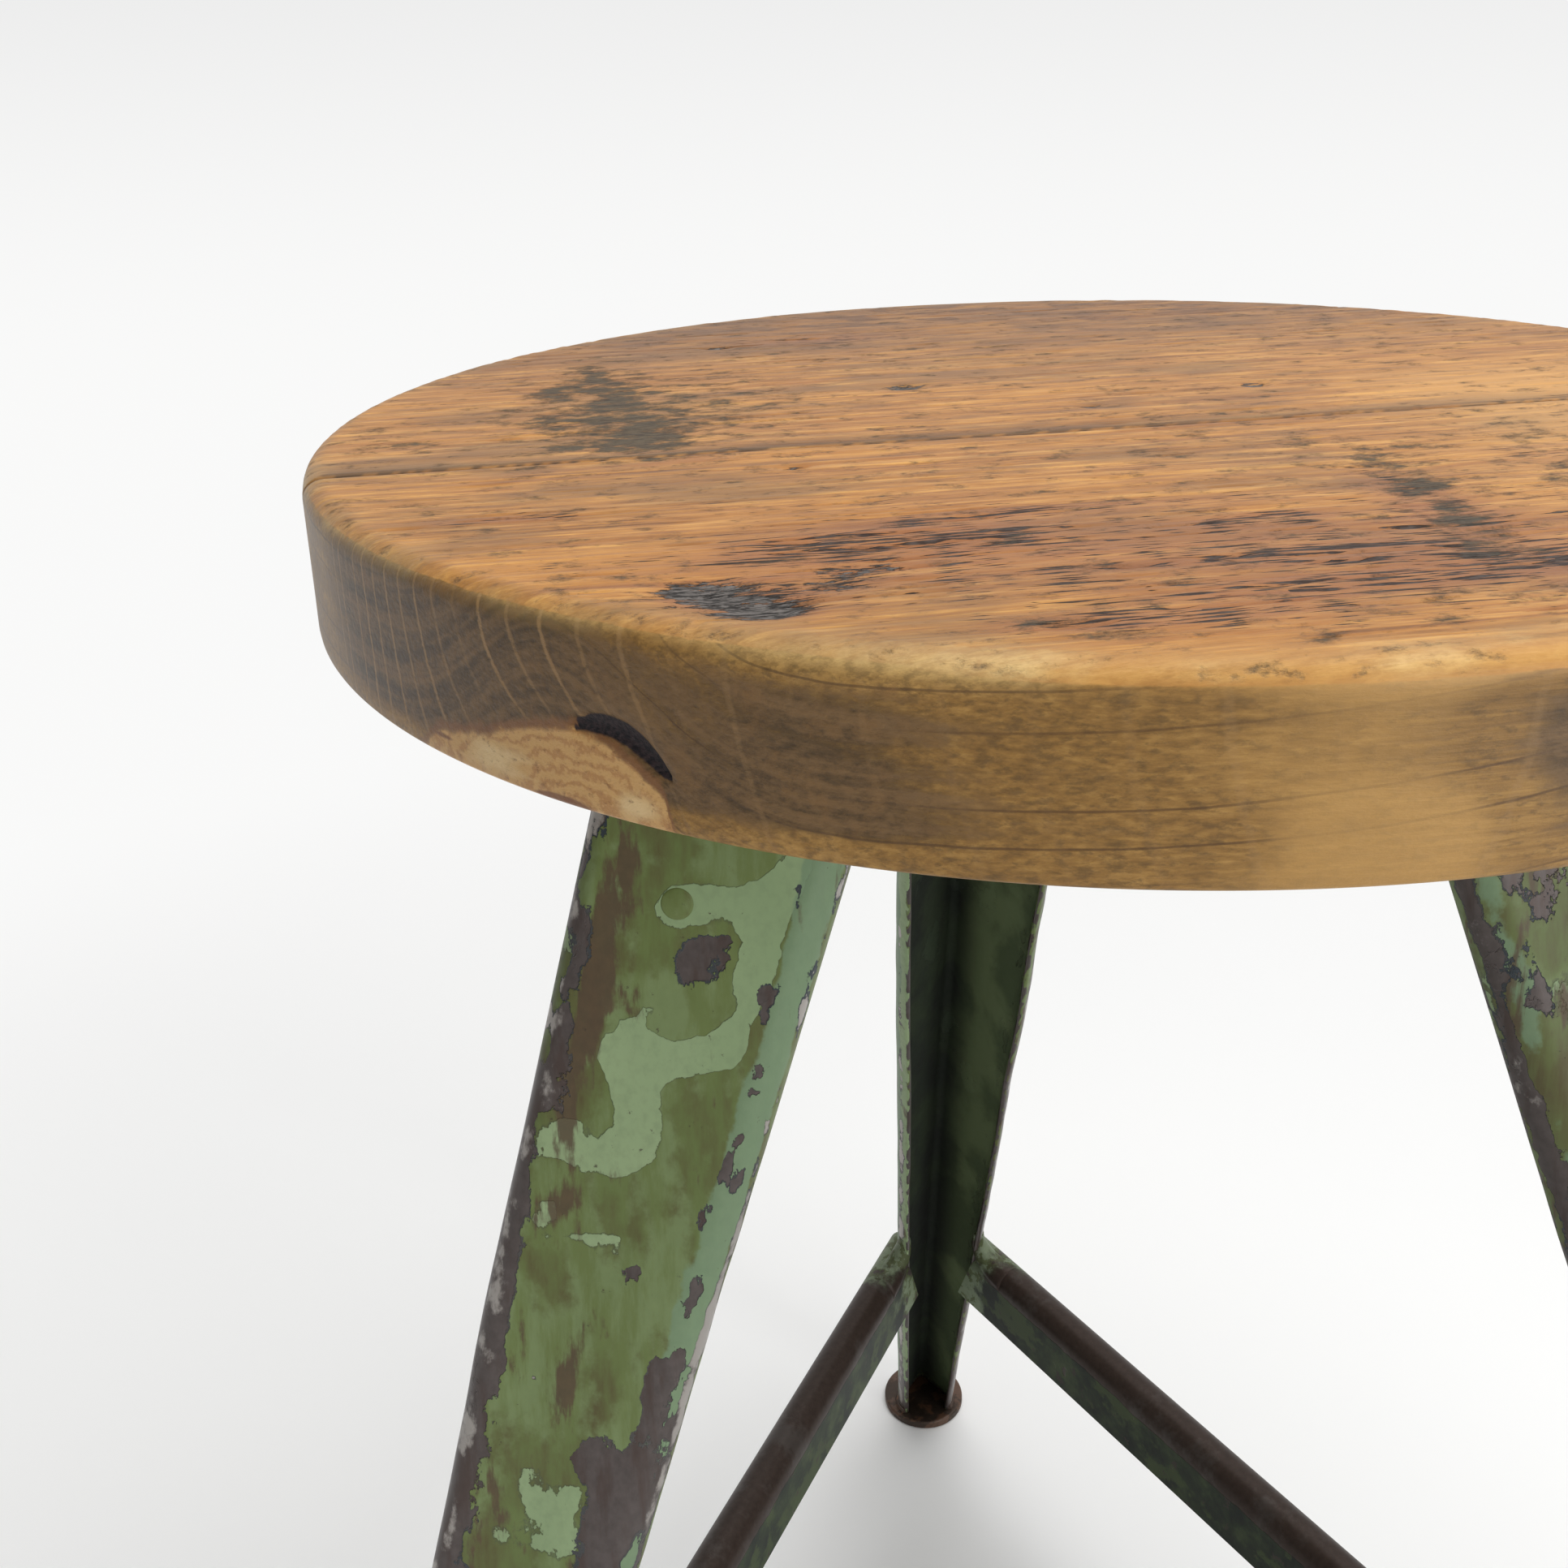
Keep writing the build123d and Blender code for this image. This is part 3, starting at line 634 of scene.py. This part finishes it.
def knot_marks(away, level):
    """The knot's pale heart, from the lower edge up to a bent line that rises to the bark and falls beneath it.

    The heart mark is a half on that line and goes to 0 and 1 within 3 mm of it; the whorl counts rings outwards."""
    return {"heart": np.clip(0.5 + (np.interp(away, heart_angles, heart_heights) - level) / 6, 0, 1),
            "whorl": np.hypot((away + 128.8) / 7.5, (level - 521.5) / 10),
            "pale": sum(spots(away, level, [place], turn) for *place, turn in knot_places)}


def edge_smudge_shade_light(away, level, drop):
    """Grey on the edge, partly weathering and partly painted shade: a band at middle height, stronger at the left and
    in patches to the front, and below 0 at the front middle, where it paints light.
    """
    left = bell(away, -142, 22, 4)
    band = (left * rise(drop, 0.8, 3) + (1 - left) * rise(drop, 3, 8)) * rise(level - seat_under, 1, 7)
    sides = 1.05 * bell(np.minimum(np.abs(away + 140), 40), 0, 17, 4) + 0.22 * wander(away / 9, level / 12, 31)
    for middle, width, gain in ((-114.5, 9, 0.85), (-80.5, 4, 0.8), (120, 40, 0.6), (-30, 25, 0.55), (200, 25, 0.6)):
        sides = sides + gain * bell(away, middle, width)
    # The dip at -90 degrees, below 0, is painted light on the front of the edge
    return np.clip(band * sides, 0, 1) - 0.55 * bell(away, -90, 7.5) * (1 - band * sides)


def seat_board(name, lower, upper, material, node):
    """A board of the seat: chords of the disc laid side by side from one edge angle to the other.

    A chord at angle p runs along the grain at R sin p across it, R cos p to each side; the edge is a quarter round,
    a straight side and a smaller quarter round, carried along the arc."""
    rows, columns, side_rings, under_columns = 280, 168, 19, 9
    joint_row = -1 if lower == -math.pi / 2 else 0
    turn = np.array([[math.cos(joint_turn), math.sin(joint_turn)], [-math.sin(joint_turn), math.cos(joint_turn)]])
    angle = np.linspace(lower, upper, rows)
    even = np.linspace(-1, 1, columns)
    share = np.sin(even * math.pi / 2) * 0.35 + even * 0.65
    flat = seat_radius - edge_round
    thick = seat_top - seat_under

    def chords(radius, spread):
        """Points on the chords of a circle, held to the joint line at the end that meets it."""
        across = radius * np.sin(angle)
        across[joint_row] = joint_offset
        half = np.sqrt(np.maximum(radius ** 2 - across ** 2, 0))
        return np.stack([half[:, None] * spread, across[:, None] + 0 * spread], 2) @ turn

    def sunk(x, y):
        """How far the top has worn below its plane."""
        along, across = np.moveaxis(np.stack([x, y], -1) @ turn.T, -1, 0)
        torn, stain = seat_marks(x, y)
        ridges = 0.1 * wander(along / 60, across / 1.7, 11) + 0.12 * wander(x / 40, y / 40, 12)
        checks = rise(wander(along / 16, across / 1.25, 13) + 0.35 * torn, 0.75, 1.15)
        seam = 0.28 * bell(across, joint_offset, 0.8)
        worn = 0.15 + ridges + 0.45 * checks + 0.3 * stain + 0.9 * seat_hollows(x, y) + seam
        return np.maximum(worn, 0)

    top = chords(flat, share)
    x, y = top[..., 0], top[..., 1]
    torn, stain = seat_marks(x, y)
    past = (top @ turn.T)[..., 1] - joint_offset
    band = np.where(past >= 0, bell(past, 0, 5) * (0.78 + 0.3 * bell(x, -75, 45)), 0)
    seam = np.maximum(bell(past, 0, 0.7), band)
    out = np.hypot(x, y)
    # Painted highlight on the top's arris, strongest towards the right front
    highlight_side = bell(np.degrees(np.arctan2(y, x)), -72, 34, 4)
    top_points = np.dstack([x, y, seat_top - sunk(x, y)])
    top_marks = {
        "torn": torn * (1 - 0.8 * rise(out, flat - 10, flat)), "stain": stain, "hollow": seat_hollows(x, y),
        "glue": 0.85 * seam, "arris": (0.08 + 0.3 * highlight_side) * rise(out, flat - 6, flat),
        # Darker towards the back; below 0 towards the right front, where it paints light on the top
        "aged": rise(y, 25, 135) - 0.6 * rise(x, 35, 110) * rise(-y, -45, 5)}

    # The edge's profile from the top down: distance in from the full radius, and below the top
    upper_bend = np.linspace(0, math.pi / 2, 9)
    lower_bend = upper_bend[2:8]
    inset = np.concatenate([edge_round * (1 - np.sin(upper_bend)), np.zeros(side_rings),
                            under_round * (1 - np.cos(lower_bend))])
    drop = np.concatenate([edge_round * (1 - np.cos(upper_bend)),
                           np.linspace(edge_round, thick - under_round, side_rings + 2)[1:-1],
                           thick - under_round * (1 - np.sin(lower_bend))])
    inset[-1], drop[-1] = under_round, thick

    def arc(radius):
        """The chords' ends in order round the edge, from one end of the joint to the other."""
        ends = chords(radius, np.array([-1, 1]))
        if joint_row == -1:
            ends = ends[::-1]
        return np.concatenate([ends[:, 0], ends[::-1, 1][1:]])

    rim = np.stack([np.concatenate([arc(seat_radius - i), np.full((2 * rows - 1, 1), seat_top - d)], 1)
                    for i, d in zip(inset, drop)], 1)
    first = arc(flat)
    rim[..., 2] -= sunk(first[:, 0], first[:, 1])[:, None] * np.clip(1 - drop / edge_round, 0, 1)
    level = rim[..., 2]
    away = np.degrees(np.arctan2(rim[..., 1], rim[..., 0]))
    uneven = 0.22 * wander(away / 9, level / 14, 21) * rise(drop, 1, 5) * rise(thick - drop, 0, 4)
    uneven = uneven * rise(np.abs((rim[..., :2] @ turn.T)[..., 1] - joint_offset), 0.5, 6)
    bark = crescent(away, level)
    rim[..., :2] *= (1 + (uneven - 0.9 * bark) / seat_radius)[..., None]
    along, across = np.moveaxis(rim[..., :2] @ turn.T, -1, 0)
    front = bell(away, -88, 24, 4)
    knot = spots(away, level, [(-130, 527, 8.5, 9.5, 1)])
    over_knot = 20 * bell(away, -130, 8)
    # The arris mark on the edge is partly a painted highlight, strongest at the front
    rim_marks = {
        "edge": (1 - front) * rise(drop, 0.9, 2.3) + front * rise(drop, 2.2, 4.2), "bark": bark,
        "smudge": edge_smudge_shade_light(away, level, drop), "arris": bell(drop, 1.6, 1.8) * (0.3 + 0.7 * front),
        "phase": end_lines(away, drop), "rings": (0.2 + 0.8 * bell(away, -144, 19, 4)) * (1 - knot),
        "sweep": (level - seat_under - 0.13 * along - 0.0006 * along ** 2 - over_knot) / 5.6,
        "glue": 0.7 * bell(across, joint_offset, 0.8), "torn": 0.05, "aged": 0.3, **knot_marks(away, level)}

    under = np.dstack([chords(seat_radius - under_round, np.linspace(-1, 1, under_columns)),
                       np.full((rows, under_columns), seat_under)])
    under_marks = {"edge": 1, "smudge": 0.35, "phase": 0.5, "sweep": 0.5}
    loop = np.concatenate([top_points[joint_row], rim[-1][1:], under[joint_row][::-1][1:], rim[0][::-1][1:-1]])
    piece = build_piece(
        name, [(top_points, False, top_marks), (rim, False, rim_marks), (under, True, under_marks)], material,
        [loop])
    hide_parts(node)


wood_front = reclaimed_board("seat_wood_front", (-6, 512), 3.1, (0, 0, 0))
wood_rear = reclaimed_board("seat_wood_rear", (64, 470), 3.4, (410, 0, 0))
split_angle = math.asin(joint_offset / seat_radius)
seat_board("seat_board_front_worn", -math.pi / 2, split_angle, wood_front, "seat_board_front")
seat_board("seat_board_rear_worn", split_angle, math.pi / 2, wood_rear, "seat_board_rear")


# The left leg's outer wall: mint and bare metal as paths of (place along the sheet, height), half width, strength; rust
# in rows like those of the seat
mint_strokes = (
    ([(21, 469.5), (31, 470), (39, 470), (43, 478)], 5, 0.68),
    ([(39.5, 470), (40, 459), (39, 450), (37, 442)], 5.2, 0.7),
    ([(37, 440), (28, 438), (20, 440), (16, 440)], 4.8, 0.68),
    ([(16, 444), (24, 451), (31, 453)], 2.2, 0.45),
    ([(19, 438), (22, 430), (25, 420)], 6, 0.66),
    ([(9, 421), (18, 417)], 6.2, 0.56),
    ([(8, 406), (10, 400.5), (24, 399)], 3.7, 0.54),
    ([(17, 346), (26, 343)], 5.6, 0.47),
    ([(14, 333), (20, 336), (27, 332)], 6, 0.46))
bare_strokes = (
    ([(28.5, 460), (29.5, 457)], 5.6, 0.75),
    ([(45.4, 436), (46, 431)], 2.4, 0.65),
    ([(44.2, 421), (43, 413)], 1.7, 0.65),
    ([(46.6, 413), (46.4, 411)], 2, 0.6),
    ([(28, 392), (29.5, 392)], 2.2, 0.5),
    ([(43.3, 392), (42.6, 384)], 1.9, 0.55),
    ([(42, 374), (39.5, 366), (43, 357)], 3.2, 0.62),
    ([(30, 352), (35, 347), (36, 330), (37, 300)], 6, 0.66),
    ([(42, 352), (42, 335)], 3.4, 0.5))
rust_places = (
    (9, 462, 4.5, 20, 0.7), (14, 450, 7, 3, 0.6), (20, 369, 3.5, 12, 0.7), (22, 479, 14, 3, 0.35),
    (12, 408, 6, 6, 0.4))


def leg_taper(z):
    """Spine reach and wall length at height z, both straight tapers from foot to top."""
    share = (z - leg_foot) / (leg_top - leg_foot)
    return (spine_reach[0] + (spine_reach[1] - spine_reach[0]) * share,
            wall_length[0] + (wall_length[1] - wall_length[0]) * share)


def leg_section(z, skin, steps=(9, 22, 13)):
    """The sheet's line at each height z, skin inside the outer face, from one lip's free edge to the other.

    Half the line is a spine arc of 90 degrees less the fold, a straight wall and a lip arc; the rest mirrors it.
    Returns the points, the outward directions and the distance along the sheet from the middle of the spine."""
    reach, wall = (a[:, None] for a in leg_taper(z))
    spine, straight, lip = (np.linspace(0, 1, n)[None, :] for n in steps)
    bend, curl = spine_round - skin, lip_round - skin
    spine_turn = spine_sweep * spine + 0 * wall
    lip_turns = spine_sweep + lip_turn * lip + 0 * wall
    start_x, start_y = reach - spine_round + bend * fold_sin, bend * fold_cos
    centre_x = start_x - wall * fold_cos - curl * fold_sin
    centre_y = start_y + wall * fold_sin - curl * fold_cos
    spine_run = spine_round * spine_sweep
    xs = (reach - spine_round + bend * np.cos(spine_turn), start_x - wall * straight * fold_cos,
          centre_x + curl * np.cos(lip_turns))
    ys = (bend * np.sin(spine_turn), start_y + wall * straight * fold_sin, centre_y + curl * np.sin(lip_turns))
    out = (spine_turn, spine_sweep + 0 * wall * straight, lip_turns)
    run = (spine_round * spine_turn, spine_run + wall * straight, spine_run + wall + lip_round * lip_turn * lip)

    def both_halves(parts, sign):
        """The three parts in a row without their shared points, after their mirror image."""
        half = np.concatenate([parts[0], parts[1][:, 1:], parts[2][:, 1:]], 1)
        return np.concatenate([sign * half[:, :0:-1], half], 1)

    return both_halves(xs, 1), both_halves(ys, -1), both_halves(out, -1), both_halves(run, -1)


def leg_wear(leg, s, z):
    """Wear of a leg's paint by place along the sheet, s, and height, z: strongest on the spine and the bends, with
    marks for a painted reflection, painted glints and, on the right leg, painted shade.

    Each mark is a sum of bell curves across the sheet, swelling towards the foot; the left leg adds brushed marks."""
    beyond = np.abs(s) - (spine_round * spine_sweep + leg_taper(z)[1][:, None])
    low = rise(leg_top - z, 40, 420)[:, None]
    high = z[:, None] + 0 * s
    seed = 40 + leg_seeds[leg]
    ragged = 0.35 * wander(s / 4, high / 9, seed) + 0.2 * wander(s / 2, high / 4, seed + 1)
    worn = (1.1 + ragged) * bell(s, 0, 5.2 + 4.2 * low) + (0.3 + 0.42 * low + ragged) * bell(beyond, 0, 2.4)
    worn = worn + (0.55 + 0.4 * low) * bell(beyond, 10, 2.5) + 0.6 * rise(leg_foot + 70 - high, 0, 70) + 0.16 * low
    mint = 0.42 - 0.2 * low + 0.24 * wander(s / 17, high / 26, seed + 10)
    rusty = 0.75 * bell(np.abs(s), 9, 4.5) * (0.6 + 0.4 * wander(s / 9, high / 24, seed + 20)) + 0.25 * low
    # Painted reflection: a bluish band on the curve towards each lip
    teal = 0.74 * bell(beyond, 5, 8)
    # Painted glints along the spine and the lip edges
    polish = bell(s, 0.8, 3) * (0.65 + 0.75 * wander(s / 3, high / 7, seed + 30))
    polish = polish + (0.2 if leg == "right" else 1) * bell(beyond, 9.8, 2.5)
    if leg == "rear":
        mint = mint + 0.55 * rise(beyond, -2, 3) * (s > 0)
        worn = worn - 0.4 * rise(beyond, 1, 6) * (s > 0)
        rusty = rusty + 0.4 * rise(beyond, -3, 2) * (s < 0)
    # Painted shade on the right leg: less mint, less bluish reflection and more wear and rust make its wall darker
    if leg == "right":
        mint = mint - 0.16
        teal = teal - 0.2
        worn = worn + 0.22 + 0.3 * wander(s / 8, high / 13, 46)
        rusty = rusty + 0.4
    if leg == "left":
        front = rise(s, 2, 8) * rise(high, 300, 330)
        mint = mint * (1 - front) + 0.04 * front + strokes(s, high, mint_strokes)
        mint = mint + spots(s, high, [(31, 447.5, 6.5, 3.6, -0.5)], 0.2)
        worn = worn - 0.75 * rise(high, 400, 470) * bell(s, -1, 5) + strokes(s, high, bare_strokes)
        rusty = rusty + spots(s, high, rust_places)
    return {"worn": np.clip(worn, 0, 1.4), "mint": np.clip(mint, 0, 1), "teal": np.clip(teal, 0, 1),
            "rusty": np.clip(rusty, 0, 1), "polish": np.clip(polish, 0, 1)}


def turned_to(leg, x, y, z):
    """Points in a leg's own frame, turned to where that leg stands."""
    c, d, _ = heading(leg_turns[leg])
    return np.dstack([x * c - y * d, x * d + y * c, z])


def folded_leg(leg, material, levels=150):
    """A leg: its folded section on many levels, skin outside and inside, free edges and both ends closed.

    Small dents push the sheet along its outward direction, and fade out where brackets and stretchers meet it."""
    z = np.linspace(leg_foot, leg_top, levels)
    seed = 50 + leg_seeds[leg]
    free = rise(leg_top - z, 92, 130) * rise(z, 20, 50) * rise(np.abs(z - stretcher_height), 18, 36)
    skins, marks = [], []
    for skin, inside in ((0, 0), (leg_sheet, 1)):
        x, y, out, s = leg_section(z, skin)
        high = z[:, None] + 0 * x
        dent = 0.45 * wander(s / 15, high / 42, seed) + 0.18 * wander(s / 5, high / 12, seed + 5)
        dent = free[:, None] * dent
        skins.append(turned_to(leg, x + dent * np.cos(out), y + dent * np.sin(out), high))
        wear = leg_wear(leg, s, z)
        # Painted shade on the inner skin; on the rear leg the shade mark sets which side is painted darker
        wear["inside"] = 0.95 * inside
        wear["shade"] = rise(s, -20, -3) if leg == "rear" else 0.5
        if inside:
            wear["worn"] = wear["worn"] * rise(np.abs(s), 12, 30) * 0.6
            wear["teal"] = wear["polish"] = 0
        marks.append(wear)
    outer, inner = skins
    patches, corners = [(outer, True, marks[0]), (inner, False, marks[1])], []
    for column, inward in ((0, 1), (-1, -2)):
        middle = (outer[:, column] + inner[:, column]) / 2
        bulge = unit(outer[:, column] - outer[:, inward])
        edge = np.stack([outer[:, column], middle + 0.7 * bulge, inner[:, column]], 1)
        patches.append((edge, column == 0, {"worn": 0.75, "mint": 0.3}))
        corners += [edge[0], edge[-1]]
    for row in (0, -1):
        patches.append((np.stack([outer[row], inner[row]]), row == 0, {"worn": 0.9}))
    piece = build_piece(f"leg_{leg}_painted", patches, material, corners)
    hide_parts(f"leg_{leg}")


leg_coats = layered_paint("leg_paint", ((0.042, 0.032, 0.029), (0.115, 0.096, 0.09)))
for leg in leg_turns:
    folded_leg(leg, leg_coats)


def leg_rivet(leg, side):
    """A flush rivet: a shallow dome, the shank and a rounded head inside, turned about the wall's normal."""
    z = leg_top - rivet_drop
    lean = (spine_reach[0] - spine_reach[1]) / (leg_top - leg_foot)
    deep = leg_taper(z)[0] - spine_round + spine_round * fold_sin - rivet_inward * fold_cos
    place = np.array([deep, side * (spine_round * fold_cos + rivet_inward * fold_sin), z])
    normal = unit(np.array([fold_sin, side * fold_cos, lean * fold_sin]))
    along = unit(np.cross(normal, [0, 0, 1]))
    cross = np.cross(normal, along)
    dome = np.linspace(0, math.pi / 2, 7)
    radius = np.concatenate([rivet_dome * np.sin(dome), [rivet_shank, rivet_shank, rivet_head],
                             rivet_head * np.cos(dome) ** 0.8])
    height = np.concatenate([0.32 * np.cos(dome), [-0.3, -rivet_grip, -rivet_grip], -rivet_grip - 2.3 * np.sin(dome)])
    turn = np.linspace(0, 2 * math.pi, 33)
    ring = np.cos(turn)[:, None, None] * along + np.sin(turn)[:, None, None] * cross
    grid = place + ring * radius[None, :, None] + normal * height[None, :, None]
    return turned_to(leg, *np.moveaxis(grid, -1, 0))


rivet_coats = layered_paint("rivet_paint", ((0.07, 0.06, 0.05), (0.14, 0.12, 0.1)), wear_gain=0.4)
rivets = build_piece(
    "leg_rivets_painted",
    [(leg_rivet(leg, side), True, {"worn": 0.3, "mint": 0.1}) for leg in leg_turns for side in (1, -1)], rivet_coats)
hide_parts("leg_rivets")


def dress(node, material):
    """Give a carried-over piece its finish."""
    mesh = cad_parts[node].data
    mesh.materials.clear()
    mesh.materials.append(material)


plate_coat = layered_paint("plate_paint", ((0.06, 0.05, 0.04), (0.13, 0.11, 0.1)), marked=False)
bracket_coat = layered_paint("bracket_paint", ((0.05, 0.04, 0.035), (0.12, 0.1, 0.09)), marked=False)
tie_coat = stretcher_paint("stretcher_paint")
dress("seat_plate", plate_coat)
for leg in leg_turns:
    dress(f"leg_socket_{leg}", bracket_coat)
    sole = old_steel("foot_steel_" + leg, (0.025, 0.018, 0.014), (0.085, 0.058, 0.042), (0.085, 0.04, 0.02), 0.5)
    dress(f"foot_{leg}", sole)
for name in stretcher_turns:
    dress(f"stretcher_{name}", tie_coat)
for node, *look in (
        ("foot_welds", "foot_weld_steel", (0.05, 0.036, 0.03), (0.13, 0.09, 0.07), (0.15, 0.07, 0.03), 0.5),
        ("seat_screws", "screw_steel", (0.16, 0.145, 0.13), (0.34, 0.32, 0.3), (0.15, 0.08, 0.035), 0.1, 0.4, 0.9),
        ("socket_rivets", "rivet_steel", (0.1, 0.09, 0.08), (0.24, 0.22, 0.2), (0.14, 0.07, 0.03), 0.2, 0.45, 0.8)):
    dress(node, old_steel(*look))
dress("seat_dowels", reclaimed_board("dowel_wood", (0, 500), 2.6, (90, 0, 0)))


def weld_web(leg, stretcher):
    """A weld filled up the corner between a stretcher's crown and a leg's lip: half a tube on a bowed ridge.

    The ridge is (1-t)^2 A + 2t(1-t) J + t^2 B, with A up the lip, J in the corner and B out along the crown; its half
    width grows from A to B, where it meets the crown's own round."""
    out, radial = heading(stretcher_turns[stretcher]), heading(leg_turns[leg])
    ahead = unit(radial - out * (radial @ out))
    corner_reach = leg_taper(stretcher_height)[0] + stretcher_past_spine
    crown = stretcher_height + stretcher_depth / 2

    def by_lip(aside, z):
        """A place on the lip's near face, aside from the stretcher's middle plane and z high."""
        reach, wall = leg_taper(z)
        deep = reach - spine_round + (spine_round - lip_round) * fold_sin - wall * fold_cos
        wide = (spine_round - lip_round) * fold_cos + wall * fold_sin
        middle = deep * 0.5 + wide * math.sqrt(0.75) - corner_reach * 0.5
        along = deep * math.sqrt(0.75) - wide * 0.5 - math.sqrt(lip_round ** 2 - (aside - middle) ** 2)
        return np.array([aside, along, z])

    t = np.linspace(0, 1, 19)[:, None]
    a, j = by_lip(-7, crown + weld_climb), by_lip(-4, crown)
    b = np.array([-0.2, j[1] - weld_run, crown + 0.1])
    ridge = (1 - t) ** 2 * a + 2 * t * (1 - t) * j + t ** 2 * b
    slope = unit(np.gradient(ridge, axis=0)[:, 1:])
    outward = np.stack([0 * t[:, 0], slope[:, 1], -slope[:, 0]], 1)
    half = 2.4 + 5.2 * t ** 1.2
    bow = np.linspace(-math.pi / 2, math.pi / 2, 15)[None, :, None]
    aside, up = np.array([1, 0, 0]), np.array([0, 0, 1])
    skin = ridge[:, None] + half[:, None] * (np.sin(bow) * aside - (1 - np.cos(bow)) * outward[:, None])
    skin = out * (skin[..., :1] + corner_reach * 0.5) + ahead * skin[..., 1:2] + up * skin[..., 2:]
    return [(skin, False, {}), (skin[:, [-1, 0]], False, {})], [skin[0], skin[-1]]


webs = [weld_web(leg, stretcher) for stretcher, legs in stretcher_legs.items() for leg in legs]
weld_fills = build_piece(
    "stretcher_welds_filled", [patch for patches, _ in webs for patch in patches], tie_coat,
    [rim for _, rims in webs for rim in rims])
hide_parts("stretcher_welds")


def backdrop():
    """Floor and backdrop in one sheet, in metres: flat, then a quarter round, then upright, carried sideways."""
    near, far, bend_radius, tall, half_width = -4, 2.6, 1.2, 5, 7
    bend = np.linspace(0, math.pi / 2, 25)
    run = np.concatenate([[near, 0, far], far + bend_radius * np.sin(bend), [far + bend_radius]])
    level = np.concatenate([[0, 0, 0], bend_radius * (1 - np.cos(bend)), [tall]])
    side = np.linspace(-half_width, half_width, 15)[:, None]
    grid = np.dstack([side + 0 * run, run + 0 * side, level + 0 * side])
    mesh = bpy.data.meshes.new("floor")
    mesh.from_pydata(grid.reshape(-1, 3), [], patch_faces(*grid.shape[:2], 0, True).tolist())
    mesh.materials.append(pale_floor("floor"))
    mesh.shade_smooth()
    floor = put_in_scene("floor", mesh)


def standing(columns):
    """A placing matrix from three axes and a place."""
    return Matrix([[column[i] for column in columns] for i in range(3)] + [[0, 0, 0, 1]])


def lamp(name, place, aim, size, power):
    """A soft rectangular lamp at place, facing aim, in metres and watts."""
    data = bpy.data.lights.new(name, "AREA")
    data.shape = "RECTANGLE"
    data.size, data.size_y = size
    data.energy = power
    light = put_in_scene(name, data)
    back = unit(np.subtract(place, aim))
    side = unit(np.cross([0, 1, 0.05], back))
    light.matrix_world = standing((side, np.cross(back, side), back, place))


backdrop()
lamp("overhead", (0.5, 0.2, 2.4), (0, 0, 0.3), (2.4, 2.4), 52)
lamp("front", (1.5, -2.1, 0.85), (0, 0, 0.4), (1.7, 1.5), 38)

# Room light, with the backdrop's near-white where the camera looks past the floor
world = bpy.data.worlds.new("studio")
bpy.context.scene.world = world
world.use_nodes = True
nodes = world.node_tree.nodes
room = nodes["Background"]
room.inputs["Color"].default_value = (1, 0.995, 0.985, 1)
room.inputs["Strength"].default_value = 0.26
paper = nodes.new("ShaderNodeBackground")
paper.inputs["Color"].default_value = (*paper_white, 1)
seen = nodes.new("ShaderNodeLightPath")
either = nodes.new("ShaderNodeMixShader")
for source, socket in ((seen.outputs["Is Camera Ray"], either.inputs[0]), (room.outputs[0], either.inputs[1]),
                       (paper.outputs[0], either.inputs[2]),
                       (either.outputs[0], nodes["World Output"].inputs["Surface"])):
    world.node_tree.links.new(source, socket)

# Camera as fitted to the photograph, focal length and shift in its pixels
camera_place = (-0.0848, -0.3507, 0.6241)
yaw, pitch, roll = np.radians((2.7, -18.5, -2))
photo_pixels, focal_pixels, shift_pixels = 1932, 1950, -216
ahead = np.array([math.sin(yaw) * math.cos(pitch), math.cos(yaw) * math.cos(pitch), math.sin(pitch)])
level_right = np.array([math.cos(yaw), -math.sin(yaw), 0])
level_up = np.cross(level_right, ahead)
right = math.cos(roll) * level_right + math.sin(roll) * level_up
above = math.cos(roll) * level_up - math.sin(roll) * level_right
camera = put_in_scene("camera", bpy.data.cameras.new("camera"))
camera.matrix_world = standing((right, above, -ahead, camera_place))
camera.data.sensor_width = 36
camera.data.lens = camera.data.sensor_width * focal_pixels / photo_pixels
camera.data.shift_y = shift_pixels / photo_pixels
camera.data.clip_start = 0.01
bpy.context.scene.camera = camera
bpy.context.scene.view_settings.view_transform = "Standard"
